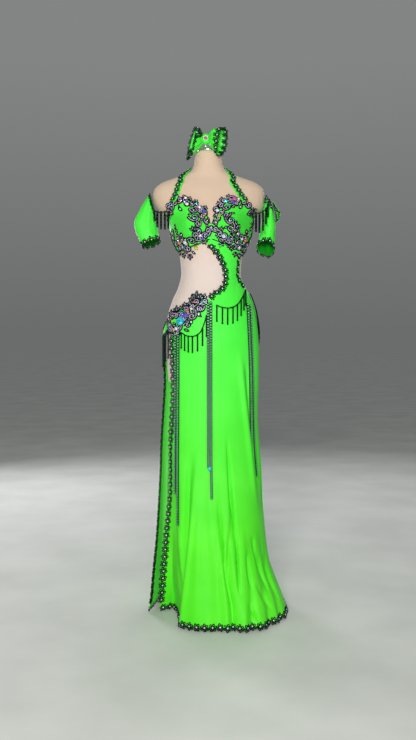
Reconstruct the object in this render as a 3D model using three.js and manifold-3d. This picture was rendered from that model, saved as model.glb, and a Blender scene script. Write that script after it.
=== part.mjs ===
// A belly dance costume on a limbless dress form.
// Millimetres, Z up, the front faces -Y and the wearer's right side is at -X.
// Angles run round the body in degrees: 0 is the front, 90 the wearer's left, 180 the back.
import * as THREE from "three";
import Module from "manifold-3d";

const wasm = await Module();
wasm.setup();

const CLOTH = 1.6; // wall of every cloth piece
const CLEAR = 2.2; // cloth to form
const CLEAR_BUST = 3.6;
const SEAM = 0.15; // degrees kept at each side of a seam
const OVER = 0.9; // skirt to the panels that lie on it
const LIFT = 0.7; // panel to its lace
const HEM_LIFT = 0.8;
const BUST_LIFT = 1.4;
const LACE = 1.4; // thickness of the flower lace
const FLOWER = 27; // one lace flower, and the pitch of the scallops
const BASE_RADIUS = 124;
const BASE_HEIGHT = 16;
const POLE_RADIUS = 16;
const FORM_FOOT = 785;
const BUST_X = 68;
const BUST_SPREAD = 38;
const ROW = 34; // the form's tallest facet

// The form: height, centre, half width, front, back, power of the oval, bust
const FORM = [
  [785, 2, 145, 92, 100, 2.2, 0],
  [863, 2, 151, 98, 116, 2.2, 0],
  [941, 2, 154, 101, 117, 2.2, 0],
  [1009, 2, 146, 100, 104, 2.15, 0],
  [1060, 2, 130, 95, 88, 2.1, 0],
  [1105, 2, 110, 87, 76, 2.1, 0],
  [1148, 2, 101, 82, 71, 2.1, 0],
  [1200, 2, 105, 85, 76, 2.1, 0],
  [1245, 2, 120, 90, 82, 2.1, 4],
  [1275, 2, 129, 93, 86, 2.1, 26],
  [1309, 1, 137, 95, 90, 2.1, 38],
  [1338, -1, 143, 93, 93, 2.1, 25],
  [1350, -2, 162, 91, 93, 2.05, 18],
  [1364, -3, 177, 88, 93, 2, 12],
  [1385, -5, 185, 82, 92, 2, 5],
  [1410, -6, 188, 74, 88, 2, 1],
  [1430, -6, 183, 66, 82, 2, 0],
  [1446, -6, 168, 58, 74, 2, 0],
  [1458, -6, 145, 52, 68, 2, 0],
  [1468, -6, 115, 48, 62, 2, 0],
  [1479, -7, 85, 46, 58, 2, 0],
  [1492, -7, 60, 45, 56, 2, 0],
  [1511, -7, 49, 46, 54, 2, 0],
  [1535, -7, 46, 45, 50, 2, 0],
  [1550, -7, 44, 43, 46, 2, 0],
  [1556, -7, 38, 37, 40, 2, 0],
];

// The skirt without its folds: height, left half width, right half width, front, back, power
const SKIRT = [
  [0, 262, 215, 245, 215, 2.5],
  [58, 244, 204, 231, 206, 2.45],
  [115, 222, 199, 216, 197, 2.4],
  [175, 201, 193, 202, 188, 2.35],
  [230, 193, 187, 190, 178, 2.3],
  [310, 184, 181, 172, 165, 2.3],
  [390, 178, 176, 156, 154, 2.25],
  [490, 174, 171, 138, 143, 2.2],
  [585, 166, 168, 126, 134, 2.2],
  [670, 161, 163, 117, 128, 2.2],
  [785, 164, 157, 109, 124, 2.2],
  [863, 165, 158, 106, 123, 2.2],
  [941, 162, 158, 105, 121, 2.2],
  [1009, 153, 149, 104, 109.5, 2.15],
  [1060, 138, 133, 98.5, 91.5, 2.1],
  [1110, 114, 112, 90, 79, 2.1],
  [1130, 110, 108, 88, 77, 2.1],
];

// The front slit edge and the back slit edge: height, angle of the front, angle of the back
const SLIT = [
  [0, -55, 263],
  [120, -55, 264],
  [250, -54, 265],
  [340, -51, 266],
  [430, -49, 267],
  [575, -50, 267],
  [716, -49.5, 266],
  [945, -54, 266],
  [1000, -57, 266],
];
const LEFT_SEAM = 88;

// Hem of the front: share of the width, x, y, height where the fold starts
const HEM_FRONT = [
  [0, -178, -36, 640],
  [0.035, -155, -24, 560],
  [0.06, -136, -16, 500],
  [0.085, -129, -60, 480],
  [0.11, -127, -115, 470],
  [0.14, -122, -160, 470],
  [0.18, -106, -191, 460],
  [0.24, -74, -221, 430],
  [0.3, -40, -236, 420],
  [0.36, -4, -240, 420],
  [0.42, 28, -235, 480],
  [0.47, 55, -245, 420],
  [0.52, 72, -229, 540],
  [0.57, 90, -243, 420],
  [0.62, 112, -250, 330],
  [0.67, 131, -228, 280],
  [0.72, 156, -231, 300],
  [0.77, 181, -211, 350],
  [0.81, 188, -187, 320],
  [0.86, 222, -163, 300],
  [0.9, 228, -136, 300],
  [0.95, 251, -112, 330],
  [1, 255.2, -77, 340],
];

// Hem of the back, in the same columns
const HEM_BACK = [
  [0, 255.4, -76.2, 340],
  [0.05, 264, -42, 340],
  [0.1, 250, -4, 380],
  [0.16, 263, 40, 380],
  [0.22, 236, 74, 420],
  [0.28, 236, 120, 420],
  [0.34, 194, 136, 460],
  [0.4, 176, 182, 460],
  [0.46, 127, 180, 520],
  [0.52, 96, 214, 480],
  [0.58, 48, 199, 540],
  [0.63, 14, 220, 480],
  [0.68, -27, 198, 540],
  [0.73, -62, 214, 460],
  [0.78, -97, 184, 480],
  [0.83, -134, 174, 420],
  [0.88, -157, 128, 460],
  [0.92, -182, 84, 420],
  [0.96, -194, 18, 420],
  [1, -211, -53, 560],
];

// Top edge of the skirt: angle, height
const SKIRT_TOP_FRONT = [
  [-57, 968],
  [-43, 966],
  [-28, 952],
  [-20, 949],
  [-12, 957],
  [-8, 985],
  [-4, 1034],
  [0, 1059],
  [7, 1052],
  [14, 1044],
  [21, 1041],
  [29, 1044],
  [37, 1053],
  [48, 1074],
  [62, 1094],
  [75, 1103],
  [88, 1110],
];
const SKIRT_TOP_BACK = [
  [88, 1110],
  [120, 1078],
  [150, 1052],
  [180, 1040],
  [210, 1030],
  [240, 1006],
  [267, 972],
];

// Edges of the body pieces: share of the width, angle, height
const CUP_RIGHT_TOP = [
  [0, -92, 1328],
  [0.2, -66, 1340],
  [0.38, -46, 1364],
  [0.52, -34, 1379],
  [0.62, -26.5, 1384],
  [0.71, -20, 1378],
  [0.8, -13.5, 1363],
  [0.87, -8.5, 1348],
  [0.93, -4, 1325],
  [1, -0.22, 1298],
];
const CUP_RIGHT_FOOT = [
  [0, -92, 1262],
  [0.15, -80, 1243],
  [0.3, -66, 1221],
  [0.5, -46, 1223],
  [0.65, -31, 1234],
  [0.8, -19, 1240],
  [0.91, -9.4, 1249.5],
  [1, -0.22, 1255.5],
];
const CUP_LEFT_TOP = [
  [0, 0.22, 1298],
  [0.07, 4, 1320],
  [0.15, 9, 1348],
  [0.23, 15, 1371],
  [0.32, 21.5, 1382],
  [0.42, 28.5, 1386],
  [0.52, 36, 1378],
  [0.66, 48, 1362],
  [0.82, 68, 1342],
  [1, 92, 1327],
];
const CUP_LEFT_FOOT = [
  [0, 0.22, 1255.5],
  [0.2, 14, 1246],
  [0.4, 30, 1238],
  [0.6, 47, 1233],
  [0.8, 68, 1236],
  [1, 92, 1250],
];
const BAND_TOP = [
  [0, 92, 1327],
  [0.3, 140, 1296],
  [0.5, 180, 1288],
  [0.7, 220, 1296],
  [1, 268, 1328],
];
const BAND_FOOT = [
  [0, 92, 1250],
  [0.3, 140, 1246],
  [0.5, 180, 1244],
  [0.7, 220, 1246],
  [1, 268, 1262],
];
const WAIST_TOP = [
  [0, -9.4, 1248],
  [0.1, 0, 1254],
  [0.22, 14, 1244.6],
  [0.4, 30, 1236.6],
  [0.6, 47, 1231.6],
  [0.83, 68, 1234.4],
  [1, 84, 1242.6],
];
const WAIST_FOOT = [
  [0, -0.6, 1047],
  [0.1, 7, 1035],
  [0.22, 14, 1028],
  [0.34, 21, 1026],
  [0.46, 29, 1030],
  [0.58, 37, 1041],
  [0.72, 48, 1062],
  [0.86, 62, 1082],
  [1, 82, 1098],
];
const WAIST_RIGHT = [
  [0, -0.6, 1047],
  [0.1, 2, 1071],
  [0.2, 13, 1086],
  [0.3, 21, 1102],
  [0.42, 25.6, 1126],
  [0.54, 25.6, 1149],
  [0.66, 21.7, 1172],
  [0.78, 15, 1195],
  [0.88, 8, 1214],
  [0.95, 0, 1232],
  [1, -9.4, 1248],
];
const WAIST_LEFT = [
  [0, 82, 1098],
  [0.12, 71, 1118],
  [0.25, 64, 1138],
  [0.5, 63, 1177],
  [0.75, 64, 1214],
  [0.9, 73, 1233],
  [1, 84, 1242.6],
];
const HIP_RIGHT_TOP = [
  [0, -86, 958],
  [0.15, -72, 984],
  [0.35, -54, 1012],
  [0.52, -40, 1029],
  [0.7, -25, 1045],
  [0.85, -13, 1054],
  [1, -1.6, 1062],
];
const HIP_RIGHT_FOOT = [
  [0, -86, 930],
  [0.2, -68, 944],
  [0.38, -53, 952],
  [0.5, -43, 953],
  [0.6, -34, 945],
  [0.7, -26, 935],
  [0.78, -19, 934],
  [0.86, -11, 946],
  [0.91, -7, 972],
  [0.96, -4, 1007],
  [1, -1.6, 1044],
];
const HIP_LEFT_TOP = [
  [0, 85, 1094],
  [0.4, 112, 1072],
  [0.7, 136, 1050],
  [1, 158, 1036],
];
const HIP_LEFT_FOOT = [
  [0, 85, 1080],
  [0.15, 90, 1035],
  [0.3, 97, 985],
  [0.48, 110, 956],
  [0.68, 128, 962],
  [0.85, 144, 992],
  [1, 158, 1026],
];

// The halter strap over both shoulders and round the neck: share of the length, angle, height
const STRAP = [
  [0, -39, 1378],
  [0.07, -36, 1394],
  [0.14, -33, 1420],
  [0.21, -33, 1445],
  [0.28, -50, 1470],
  [0.35, -84, 1491],
  [0.42, -130, 1503],
  [0.5, -180, 1508],
  [0.58, -230, 1503],
  [0.65, -276, 1491],
  [0.72, -317, 1470],
  [0.79, -333, 1443],
  [0.86, -330, 1419],
  [0.93, -325, 1394],
  [1, -321, 1378],
];
const STRAP_WIDTH = 20;
const STRAP_RISE = 8.6; // where the strap's ends lie on the cups

// Rings of a sleeve from its rim to its hem: centre x, y, z, then the two half axes
const SLEEVE_RIGHT = [
  [0, -195, -2, 1372, -9, 0, 44, 2, 26, 0],
  [0.3, -207, -4, 1334, -29, 0, 31, 2, 34, 2],
  [0.6, -217, -6, 1298, -41, 0, 15, 0, 38, 3],
  [0.8, -210, -8, 1274, -36, 0, -2, 0, 37, 4],
  [1, -201, -10, 1251, -30, 0, -10, 0, 34, -6],
];
const SLEEVE_LEFT = [
  [0, 196, -2, 1392, 9, 0, -17, 0, 28, 2],
  [0.3, 195, -5, 1352, 18, 0, -8, 0, 32, 2],
  [0.6, 195, -9, 1308, 25, 0, -2, 0, 33, -4],
  [0.8, 191, -12, 1272, 27, 0, -3, 0, 29, -14],
  [1, 186, -16, 1234, 29, 0, -4, 0, 18, -25],
];
const RUFFLE = [
  [0, 208, -22, 1388, 212.4, 8, 1379],
  [0.35, 223, -30, 1366, 221, 6, 1352],
  [0.7, 234, -26, 1343, 222.4, 4, 1330],
  [1, 230, -16, 1327, 220.4, 2, 1318],
];

// Loops of the bow from the throat to the mouth, in the columns of a sleeve
const BOW_RIGHT = [
  [0, -27, -40, 1590, 0, 0, 17, 0, 10, 0],
  [0.35, -38, -41, 1588, 3, 0, 33, 0, 20, 0],
  [0.7, -50, -42, 1582, 9, 0, 43, 0, 25, 0],
  [1, -60, -43, 1576, 13, 0, 50, -7, 22, 0],
];
const BOW_LEFT = [
  [0, -4.7, -40, 1590, 0, 0, -17, 0, 10, 0],
  [0.35, 6, -46.4, 1589, -1, 0, -32, 2, 20, 0],
  [0.7, 20, -50, 1585, -4, 0, -41, 8, 22, 0],
  [1, 34, -50, 1581, -7, 0, -46, 16, 20, 0],
];

const vec = (x, y, z) => new THREE.Vector3(x, y, z);
const root = new THREE.Group();

// The other columns of a table at a key, on a smooth curve that never overshoots its rows.
function fit(rows, key) {
  const last = rows.length - 1;
  const at = Math.min(Math.max(key, rows[0][0]), rows[last][0]);
  let i = 0;
  while (i < last - 1 && at > rows[i + 1][0]) i++;
  const step = (k) => rows[k + 1][0] - rows[k][0];
  const u = (at - rows[i][0]) / step(i);
  return rows[0].slice(1).map((_, column) => {
    const c = column + 1;
    const rise = (k) => (rows[k + 1][c] - rows[k][c]) / step(k);
    const slope = (k) => {
      if (k === 0) return rise(0);
      if (k === last) return rise(last - 1);
      const [a, b] = [rise(k - 1), rise(k)];
      return a * b <= 0 ? 0 : (2 * a * b) / (a + b);
    };
    const [u2, u3] = [u * u, u * u * u];
    return (
      (2 * u3 - 3 * u2 + 1) * rows[i][c] +
      (u3 - 2 * u2 + u) * step(i) * slope(i) +
      (3 * u2 - 2 * u3) * rows[i + 1][c] +
      (u3 - u2) * step(i) * slope(i + 1)
    );
  });
}

// A point of an oval with its own size to each side.
function oval(angle, left, right, front, back, power) {
  const s = Math.sin(THREE.MathUtils.degToRad(angle));
  const c = Math.cos(THREE.MathUtils.degToRad(angle));
  const share = (value) => Math.sign(value) * Math.abs(value) ** (2 / power);
  return [share(s) * (s > 0 ? left : right), -share(c) * (c > 0 ? front : back)];
}

function onForm(angle, height) {
  const [centre, half, front, back, power, bust] = fit(FORM, height);
  const [x, y] = oval(angle, half, half, front, back, power);
  const facing = Math.min(1, Math.max(0, Math.cos(THREE.MathUtils.degToRad(angle)) * 2.2));
  const lobe = bust * Math.exp(-(((Math.abs(x) - BUST_X) / BUST_SPREAD) ** 2)) * facing;
  return vec(x + centre, y - lobe, height);
}

function onSkirt(angle, height) {
  const [x, y] = oval(angle, ...fit(SKIRT, height));
  return vec(x, y, height);
}

// Moves a point of a surface outwards along the surface's normal.
function raised(surface, angle, height, lift) {
  const p = surface(angle, height);
  const across = surface(angle + 0.5, height).sub(surface(angle - 0.5, height));
  const up = surface(angle, height + 2).sub(surface(angle, height - 2));
  return p.addScaledVector(across.cross(up).normalize(), lift);
}

const smoothstep = (low, high, value) => THREE.MathUtils.smoothstep(value, low, high);

// Inner face of the body pieces: close to the form above the waist, over the skirt at the hip.
function onBody(angle, height) {
  const near = raised(onForm, angle, height, CLEAR);
  const over = raised(onSkirt, angle, height, OVER);
  return over.lerp(near, smoothstep(1112, 1140, height));
}

// A closed mesh from a list of triangles over shared points.
function meshOf(points, faces) {
  const geometry = new THREE.BufferGeometry();
  geometry.setAttribute("position", new THREE.Float32BufferAttribute(points.flatMap((p) => p.toArray()), 3));
  geometry.setIndex(faces.flat());
  return geometry;
}

function add(name, geometry, color) {
  const mesh = new THREE.Mesh(geometry, new THREE.MeshStandardMaterial({ color, roughness: 0.6 }));
  mesh.name = name;
  root.add(mesh);
}

// A cloth piece over a grid of inner points. A ring closes on itself across its width.
function cloth(across, along, place, { wall = CLOTH, ring = false, turned = false } = {}) {
  const columns = across + (ring ? 0 : 1);
  const inner = [];
  for (let i = 0; i < columns; i++) {
    inner.push([]);
    for (let j = 0; j <= along; j++) inner[i].push(place(i / across, j / along));
  }
  const column = (i) => inner[ring ? (i + columns) % columns : Math.min(Math.max(i, 0), columns - 1)];
  const normal = inner.map((points, i) =>
    points.map((_, j) => {
      const side = column(i + 1)[j].clone().sub(column(i - 1)[j]);
      const up = points[Math.min(j + 1, along)].clone().sub(points[Math.max(j - 1, 0)]);
      return side.cross(up).normalize().multiplyScalar(turned ? -1 : 1);
    }),
  );
  const outer = inner.map((points, i) => points.map((p, j) => p.clone().addScaledVector(normal[i][j], wall)));
  return { across, along, ring, turned, inner, outer, normal };
}

function skin(piece) {
  const { across, along, ring, turned, inner, outer } = piece;
  const rows = along + 1;
  const columns = inner.length;
  const points = [...outer.flat(), ...inner.flat()];
  const out = (i, j) => (i % columns) * rows + j;
  const inn = (i, j) => columns * rows + (i % columns) * rows + j;
  const faces = [];
  const quad = (a, b, c, d) => faces.push([a, b, c], [a, c, d]);
  for (let i = 0; i < across; i++) {
    for (let j = 0; j < along; j++) {
      quad(out(i, j), out(i + 1, j), out(i + 1, j + 1), out(i, j + 1));
      quad(inn(i, j), inn(i, j + 1), inn(i + 1, j + 1), inn(i + 1, j));
    }
    quad(inn(i, 0), inn(i + 1, 0), out(i + 1, 0), out(i, 0));
    quad(out(i, along), out(i + 1, along), inn(i + 1, along), inn(i, along));
  }
  if (!ring) {
    for (let j = 0; j < along; j++) {
      quad(inn(0, j), out(0, j), out(0, j + 1), inn(0, j + 1));
      quad(out(across, j), inn(across, j), inn(across, j + 1), out(across, j + 1));
    }
  }
  return meshOf(points, turned ? faces.map(([a, b, c]) => [a, c, b]) : faces);
}

// Point and normal of a piece's outer face at fractional places of its grid, also past its edges.
function at(piece, i, j) {
  const { across, along, ring, outer, normal } = piece;
  const last = outer.length;
  const low = ring ? Math.floor(i) : Math.min(Math.max(Math.floor(i), 0), across - 1);
  const row = Math.min(Math.max(Math.floor(j), 0), along - 1);
  const [a, b] = [(low + last) % last, (low + 1 + last) % last];
  const [u, v] = [i - low, j - row];
  // each cell is two triangles, parted from its first corner to the opposite one
  const mixed = (grid) => {
    const [first, opposite] = [grid[a][row], grid[b][row + 1]];
    const corner = v <= u ? grid[b][row] : grid[a][row + 1];
    const [toCorner, toOpposite] = v <= u ? [u, v] : [v, u];
    const step = corner.clone().sub(first).multiplyScalar(toCorner);
    return first.clone().add(step).addScaledVector(opposite.clone().sub(corner), toOpposite);
  };
  return { point: mixed(outer), normal: mixed(normal).normalize() };
}

// A scalloped lace along one edge of a piece: its points are the piece's points moved out.
// edge is foot, head, start or end; inside and beyond are its widths on and past the piece.
function lace(piece, edge, { from = 0, to = 1, inside = 13, beyond = 11, pitch = FLOWER, lift = LIFT, wall = LACE, bends = true, steps = 2, notch = 0.7 } = {}) {
  const level = edge === "foot" || edge === "head";
  const count = level ? piece.across : piece.along;
  const cross = level ? piece.along : piece.across;
  const far = edge === "head" || edge === "end";
  const grid = (s, w) => {
    const k = s * count;
    const rim = far ? cross : 0;
    const next = far ? cross - 1 : 1;
    const place = (c) => (level ? at(piece, k, c) : at(piece, c, k));
    const cell = place(rim).point.distanceTo(place(next).point);
    return place(rim + (next - rim) * Math.min(w / cell, 0.98));
  };
  const samples = 400;
  const lengths = [0];
  for (let k = 1; k <= samples; k++) {
    const s = from + ((to - from) * k) / samples;
    const before = from + ((to - from) * (k - 1)) / samples;
    lengths.push(lengths[k - 1] + grid(s, 0).point.distanceTo(grid(before, 0).point));
  }
  const total = lengths[samples];
  const placeOf = (length) => {
    let k = 1;
    while (k < samples && lengths[k] < length) k++;
    const share = (length - lengths[k - 1]) / (lengths[k] - lengths[k - 1]);
    return from + ((to - from) * (k - 1 + share)) / samples;
  };
  const flowers = Math.max(1, Math.round(total / pitch));
  const stops = [];
  for (let k = 0; k <= flowers * steps; k++) {
    const phase = (k % steps) / steps;
    stops.push([placeOf((total * k) / (flowers * steps)), phase === 0 ? notch : 1]);
  }
  if (bends) {
    for (let k = 1; k < count; k++) {
      const s = k / count;
      const near = stops.findIndex(([place]) => place > s);
      if (s <= from || s >= to || near < 1) continue;
      const [a, b] = [stops[near - 1], stops[near]];
      const share = (s - a[0]) / (b[0] - a[0]);
      if (share < 0.2) a[0] = near > 1 ? s : a[0];
      else if (share > 0.8) b[0] = near < stops.length - 1 ? s : b[0];
      else stops.splice(near, 0, [s, a[1] + (b[1] - a[1]) * share]);
    }
  }
  const edges = stops.map(([s, wide]) => [grid(s, inside * wide), grid(s, -beyond * wide)]);
  const rise = (p, height) => p.point.clone().addScaledVector(p.normal, height);
  const strip = {
    across: stops.length - 1,
    along: 1,
    ring: false,
    turned: piece.turned !== (edge === "foot" || edge === "end"),
    inner: edges.map((row) => row.map((p) => rise(p, lift))),
    outer: edges.map((row) => row.map((p) => rise(p, lift + wall))),
    normal: edges.map((row) => row.map((p) => p.normal)),
  };
  return strip;
}

// A body piece between a lower and an upper edge, and side edges where it has them.
function bodyPiece(across, along, foot, head, surface, { start, end, wall } = {}) {
  const edge = (rows, share) => {
    const [angle, height] = fit(rows, share);
    return [angle, height];
  };
  const [footStart, footEnd] = [edge(foot, 0), edge(foot, 1)];
  const [headStart, headEnd] = [edge(head, 0), edge(head, 1)];
  const mix = (a, b, share) => a.map((value, k) => value + (b[k] - value) * share);
  const place = (u, v) => {
    const [low, high] = [edge(foot, u), edge(head, u)];
    const left = start ? edge(start, v) : mix(footStart, headStart, v);
    const right = end ? edge(end, v) : mix(footEnd, headEnd, v);
    const corners = mix(mix(footStart, headStart, v), mix(footEnd, headEnd, v), u);
    const up = mix(low, high, v);
    const side = mix(left, right, u);
    const [angle, height] = up.map((value, k) => value + side[k] - corners[k]);
    return surface(angle, height);
  };
  return cloth(across, along, place, { wall });
}

// A skirt panel that falls from its top edge into the folds of its hem.
function skirtPanel(along, hem, top, angles) {
  const columns = hem.map(([share]) => share);
  const place = (u, v) => {
    const share = columns[Math.round(u * (columns.length - 1))];
    const [x, y, start] = fit(hem, share);
    const [, topAngle] = angles(share, 1000);
    const highest = fit(top, topAngle)[0];
    const height = HEM_HEIGHT + (highest - HEM_HEIGHT) * v ** 1.15;
    const [, angle] = angles(share, height);
    const p = raised(onSkirt, angle, height, -CLOTH);
    const [, angleAtHem] = angles(share, 0);
    const plain = onSkirt(angleAtHem, 0);
    const fall = Math.max(0, (start - height) / start) ** 1.3;
    return vec(p.x + (x - plain.x) * fall, p.y + (y - plain.y) * fall, height);
  };
  return cloth(columns.length - 1, along, place);
}
const HEM_HEIGHT = 14;

const skirtFront = skirtPanel(17, HEM_FRONT, SKIRT_TOP_FRONT, (share, height) => {
  const [front] = fit(SLIT, height);
  return [0, front + (LEFT_SEAM - SEAM - front) * share];
});
const skirtBack = skirtPanel(14, HEM_BACK, SKIRT_TOP_BACK, (share, height) => {
  const [, back] = fit(SLIT, height);
  return [0, LEFT_SEAM + SEAM + (back - LEFT_SEAM - SEAM) * share];
});

const onBust = (angle, height) => raised(onForm, angle, height, CLEAR_BUST);
const cupRight = bodyPiece(14, 7, CUP_RIGHT_FOOT, CUP_RIGHT_TOP, onBust);
const cupLeft = bodyPiece(14, 7, CUP_LEFT_FOOT, CUP_LEFT_TOP, onBust);
const seamed = (rows) => rows.map(([share, angle, height]) => [share, angle + SEAM * (1 - 2 * share), height]);
const backBand = bodyPiece(12, 2, seamed(BAND_FOOT), seamed(BAND_TOP), onBust);
const waistPanel = bodyPiece(12, 12, WAIST_FOOT, WAIST_TOP, onBody, { start: WAIST_RIGHT, end: WAIST_LEFT });
const hipRight = bodyPiece(16, 3, HIP_RIGHT_FOOT, HIP_RIGHT_TOP, onBody);
const hipLeft = bodyPiece(12, 3, HIP_LEFT_FOOT, HIP_LEFT_TOP, onBody);

// The strap keeps its width across the slope of the shoulders.
const strap = cloth(38, 2, (u, v) => {
  const [angle, height] = fit(STRAP, u);
  const ahead = fit(STRAP, u + 0.01);
  const behind = fit(STRAP, u - 0.01);
  const along = onForm(...ahead).sub(onForm(...behind)).normalize();
  const p = onForm(angle, height);
  const out = raised(onForm, angle, height, 1).sub(p);
  const side = out.clone().cross(along).normalize();
  const bulge = 1 - (2 * v - 1) ** 2;
  return p.addScaledVector(side, STRAP_WIDTH * (v - 0.5)).addScaledVector(out, 2.6 + 0.9 * bulge + STRAP_RISE * Math.max(0, 1 - 8 * Math.min(u, 1 - u)));
});

// A tube of cloth through a table of rings.
function tube(around, along, rows, options) {
  return cloth(around, along, (u, v) => {
    const [x, y, z, ax, ay, az, bx, by, bz] = fit(rows, v);
    const turn = u * Math.PI * 2;
    const [c, s] = [Math.cos(turn), Math.sin(turn)];
    return vec(x + ax * c + bx * s, y + ay * c + by * s, z + az * c + bz * s);
  }, { ring: true, ...options });
}
const sleeveRight = tube(18, 5, SLEEVE_RIGHT, { turned: false });
const sleeveLeft = tube(18, 5, SLEEVE_LEFT, { turned: true });
const bowRight = tube(14, 4, BOW_RIGHT, { turned: false });
const bowLeft = tube(14, 4, BOW_LEFT, { turned: false });
const ruffle = cloth(2, 5, (u, v) => {
  const [x, y, z, farX, farY, farZ] = fit(RUFFLE, v);
  return vec(x, y, z).lerp(vec(farX, farY, farZ), u);
}, { wall: CLOTH });

const GREEN = 0x5cf94e;
const TRIM = 0x0b2e1e;
const SKIN = 0xd9c4aa;
const STEEL = 0xc8c8c8;

// The form is a stack of ovals, closed at its foot and at the neck.
function formMesh(around) {
  const heights = [];
  FORM.slice(1).forEach(([height], k) => {
    const foot = FORM[k][0];
    const parts = Math.ceil((height - foot) / ROW);
    for (let i = 0; i < parts; i++) heights.push(foot + ((height - foot) * i) / parts);
  });
  heights.push(FORM[FORM.length - 1][0]);
  const points = heights.flatMap((height) =>
    Array.from({ length: around }, (_, i) => onForm((360 * i) / around, height)),
  );
  const faces = [];
  for (let k = 0; k < heights.length - 1; k++) {
    for (let i = 0; i < around; i++) {
      const [a, b] = [k * around + i, k * around + ((i + 1) % around)];
      faces.push([a, b, b + around], [a, b + around, a + around]);
    }
  }
  for (const [k, out] of [[0, false], [heights.length - 1, true]]) {
    const [centre] = fit(FORM, heights[k]);
    points.push(vec(centre, 0, heights[k]));
    const middle = points.length - 1;
    for (let i = 0; i < around; i++) {
      const [a, b] = [k * around + i, k * around + ((i + 1) % around)];
      faces.push(out ? [a, b, middle] : [b, a, middle]);
    }
  }
  return meshOf(points, faces);
}

// A turned piece about a vertical line from a list of radius and height.
function turnedPiece(profile, around, x) {
  const outline = profile.map(([radius, height]) => new THREE.Vector2(radius, height));
  const geometry = new THREE.LatheGeometry(outline, around);
  geometry.rotateX(Math.PI / 2);
  geometry.translate(x, 0, 0);
  return geometry;
}

add("dress_form", formMesh(28), SKIN);
const NECK_X = -7;
add("neck_cap", turnedPiece([[0, 1556.4], [36, 1556.4], [36, 1561], [31, 1564], [0, 1564]], 24, NECK_X), STEEL);
add("stand_pole", turnedPiece([[0, BASE_HEIGHT + 0.3], [POLE_RADIUS, BASE_HEIGHT + 0.3], [POLE_RADIUS, FORM_FOOT - 0.3], [0, FORM_FOOT - 0.3]], 20, 0), STEEL);
add("stand_base", turnedPiece([[0, 0], [BASE_RADIUS, 0], [BASE_RADIUS, 8], [BASE_RADIUS - 8, 11], [50, BASE_HEIGHT], [0, BASE_HEIGHT]], 32, 0), STEEL);

add("skirt_front", skin(skirtFront), GREEN);
add("skirt_back", skin(skirtBack), GREEN);
add("cup_right", skin(cupRight), GREEN);
add("cup_left", skin(cupLeft), GREEN);
add("back_band", skin(backBand), GREEN);
add("waist_panel", skin(waistPanel), GREEN);
add("hip_panel_right", skin(hipRight), GREEN);
add("hip_panel_left", skin(hipLeft), GREEN);
add("halter_strap", skin(strap), GREEN);
add("sleeve_right", skin(sleeveRight), GREEN);
add("sleeve_left", skin(sleeveLeft), GREEN);
add("bow_loop_right", skin(bowRight), GREEN);
add("bow_loop_left", skin(bowLeft), GREEN);
add("sleeve_ruffle_left", skin(ruffle), GREEN);

const laces = {
  lace_hem_front: lace(skirtFront, "foot", { lift: HEM_LIFT }),
  lace_hem_back: lace(skirtBack, "foot", { lift: HEM_LIFT }),
  lace_slit_front: lace(skirtFront, "start", { from: 0.03, to: 0.97, inside: 12, beyond: 10, lift: 1.6 }),
  lace_slit_back: lace(skirtBack, "end", { from: 0.03, to: 0.97, inside: 12, beyond: 10 }),
  lace_skirt_top_back: lace(skirtBack, "head", { from: 0.32, to: 0.99, inside: 12, beyond: 8 }),
  lace_waist_right: lace(waistPanel, "start", { from: 0.04, to: 0.97, inside: 11, beyond: 10, pitch: 25, lift: BUST_LIFT }),
  lace_waist_left: lace(waistPanel, "end", { from: 0.04, to: 0.88, inside: 9, beyond: 8, pitch: 25 }),
  applique_hip_right: lace(hipRight, "head", { from: 0.01, to: 0.93, inside: 24, beyond: 9, pitch: 36, steps: 3 }),
  applique_cup_right: lace(cupRight, "head", { from: 0.02, to: 0.98, inside: 10, beyond: 2, pitch: 24, lift: BUST_LIFT + 0.3 }),
  applique_cup_left: lace(cupLeft, "head", { from: 0.02, to: 0.98, inside: 10, beyond: 2, pitch: 24, lift: BUST_LIFT }),
  applique_bust_right: lace(cupRight, "foot", { from: 0.05, to: 0.95, inside: 26, beyond: 8, pitch: 34, steps: 3, lift: 1.8 }),
  applique_bust_left: lace(cupLeft, "foot", { from: 0.05, to: 0.95, inside: 26, beyond: 0.4, pitch: 34, steps: 3, lift: BUST_LIFT }),
  applique_waist_left: lace(waistPanel, "head", { from: 0.14, to: 0.82, inside: 20, beyond: -0.8, pitch: 34, steps: 3 }),
  lace_halter: lace(strap, "head", { inside: 14, beyond: 2, pitch: 24, lift: BUST_LIFT }),
  lace_sleeve_right: lace(sleeveRight, "head", { inside: 12, beyond: 8, to: 0.995, pitch: 22 }),
  lace_sleeve_left: lace(sleeveLeft, "head", { inside: 12, beyond: 8, to: 0.995, pitch: 22, lift: 0.8 }),
  lace_bow_right: lace(bowRight, "head", { inside: 9, beyond: 7, to: 0.995, pitch: 22, lift: BUST_LIFT }),
  lace_bow_left: lace(bowLeft, "head", { inside: 9, beyond: 7, to: 0.995, pitch: 22 }),
};
for (const [name, strip] of Object.entries(laces)) add(name, skin(strip), TRIM);

function solidOf(geometry) {
  const index = new Uint32Array(geometry.index.array);
  const places = new Float32Array(geometry.getAttribute("position").array);
  return new wasm.Manifold(new wasm.Mesh({ numProp: 3, vertProperties: places, triVerts: index }));
}

function geometryOf(solid) {
  const mesh = solid.getMesh();
  const geometry = new THREE.BufferGeometry();
  geometry.setAttribute("position", new THREE.Float32BufferAttribute(mesh.vertProperties, 3));
  geometry.setIndex(Array.from(mesh.triVerts));
  return geometry;
}

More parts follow.
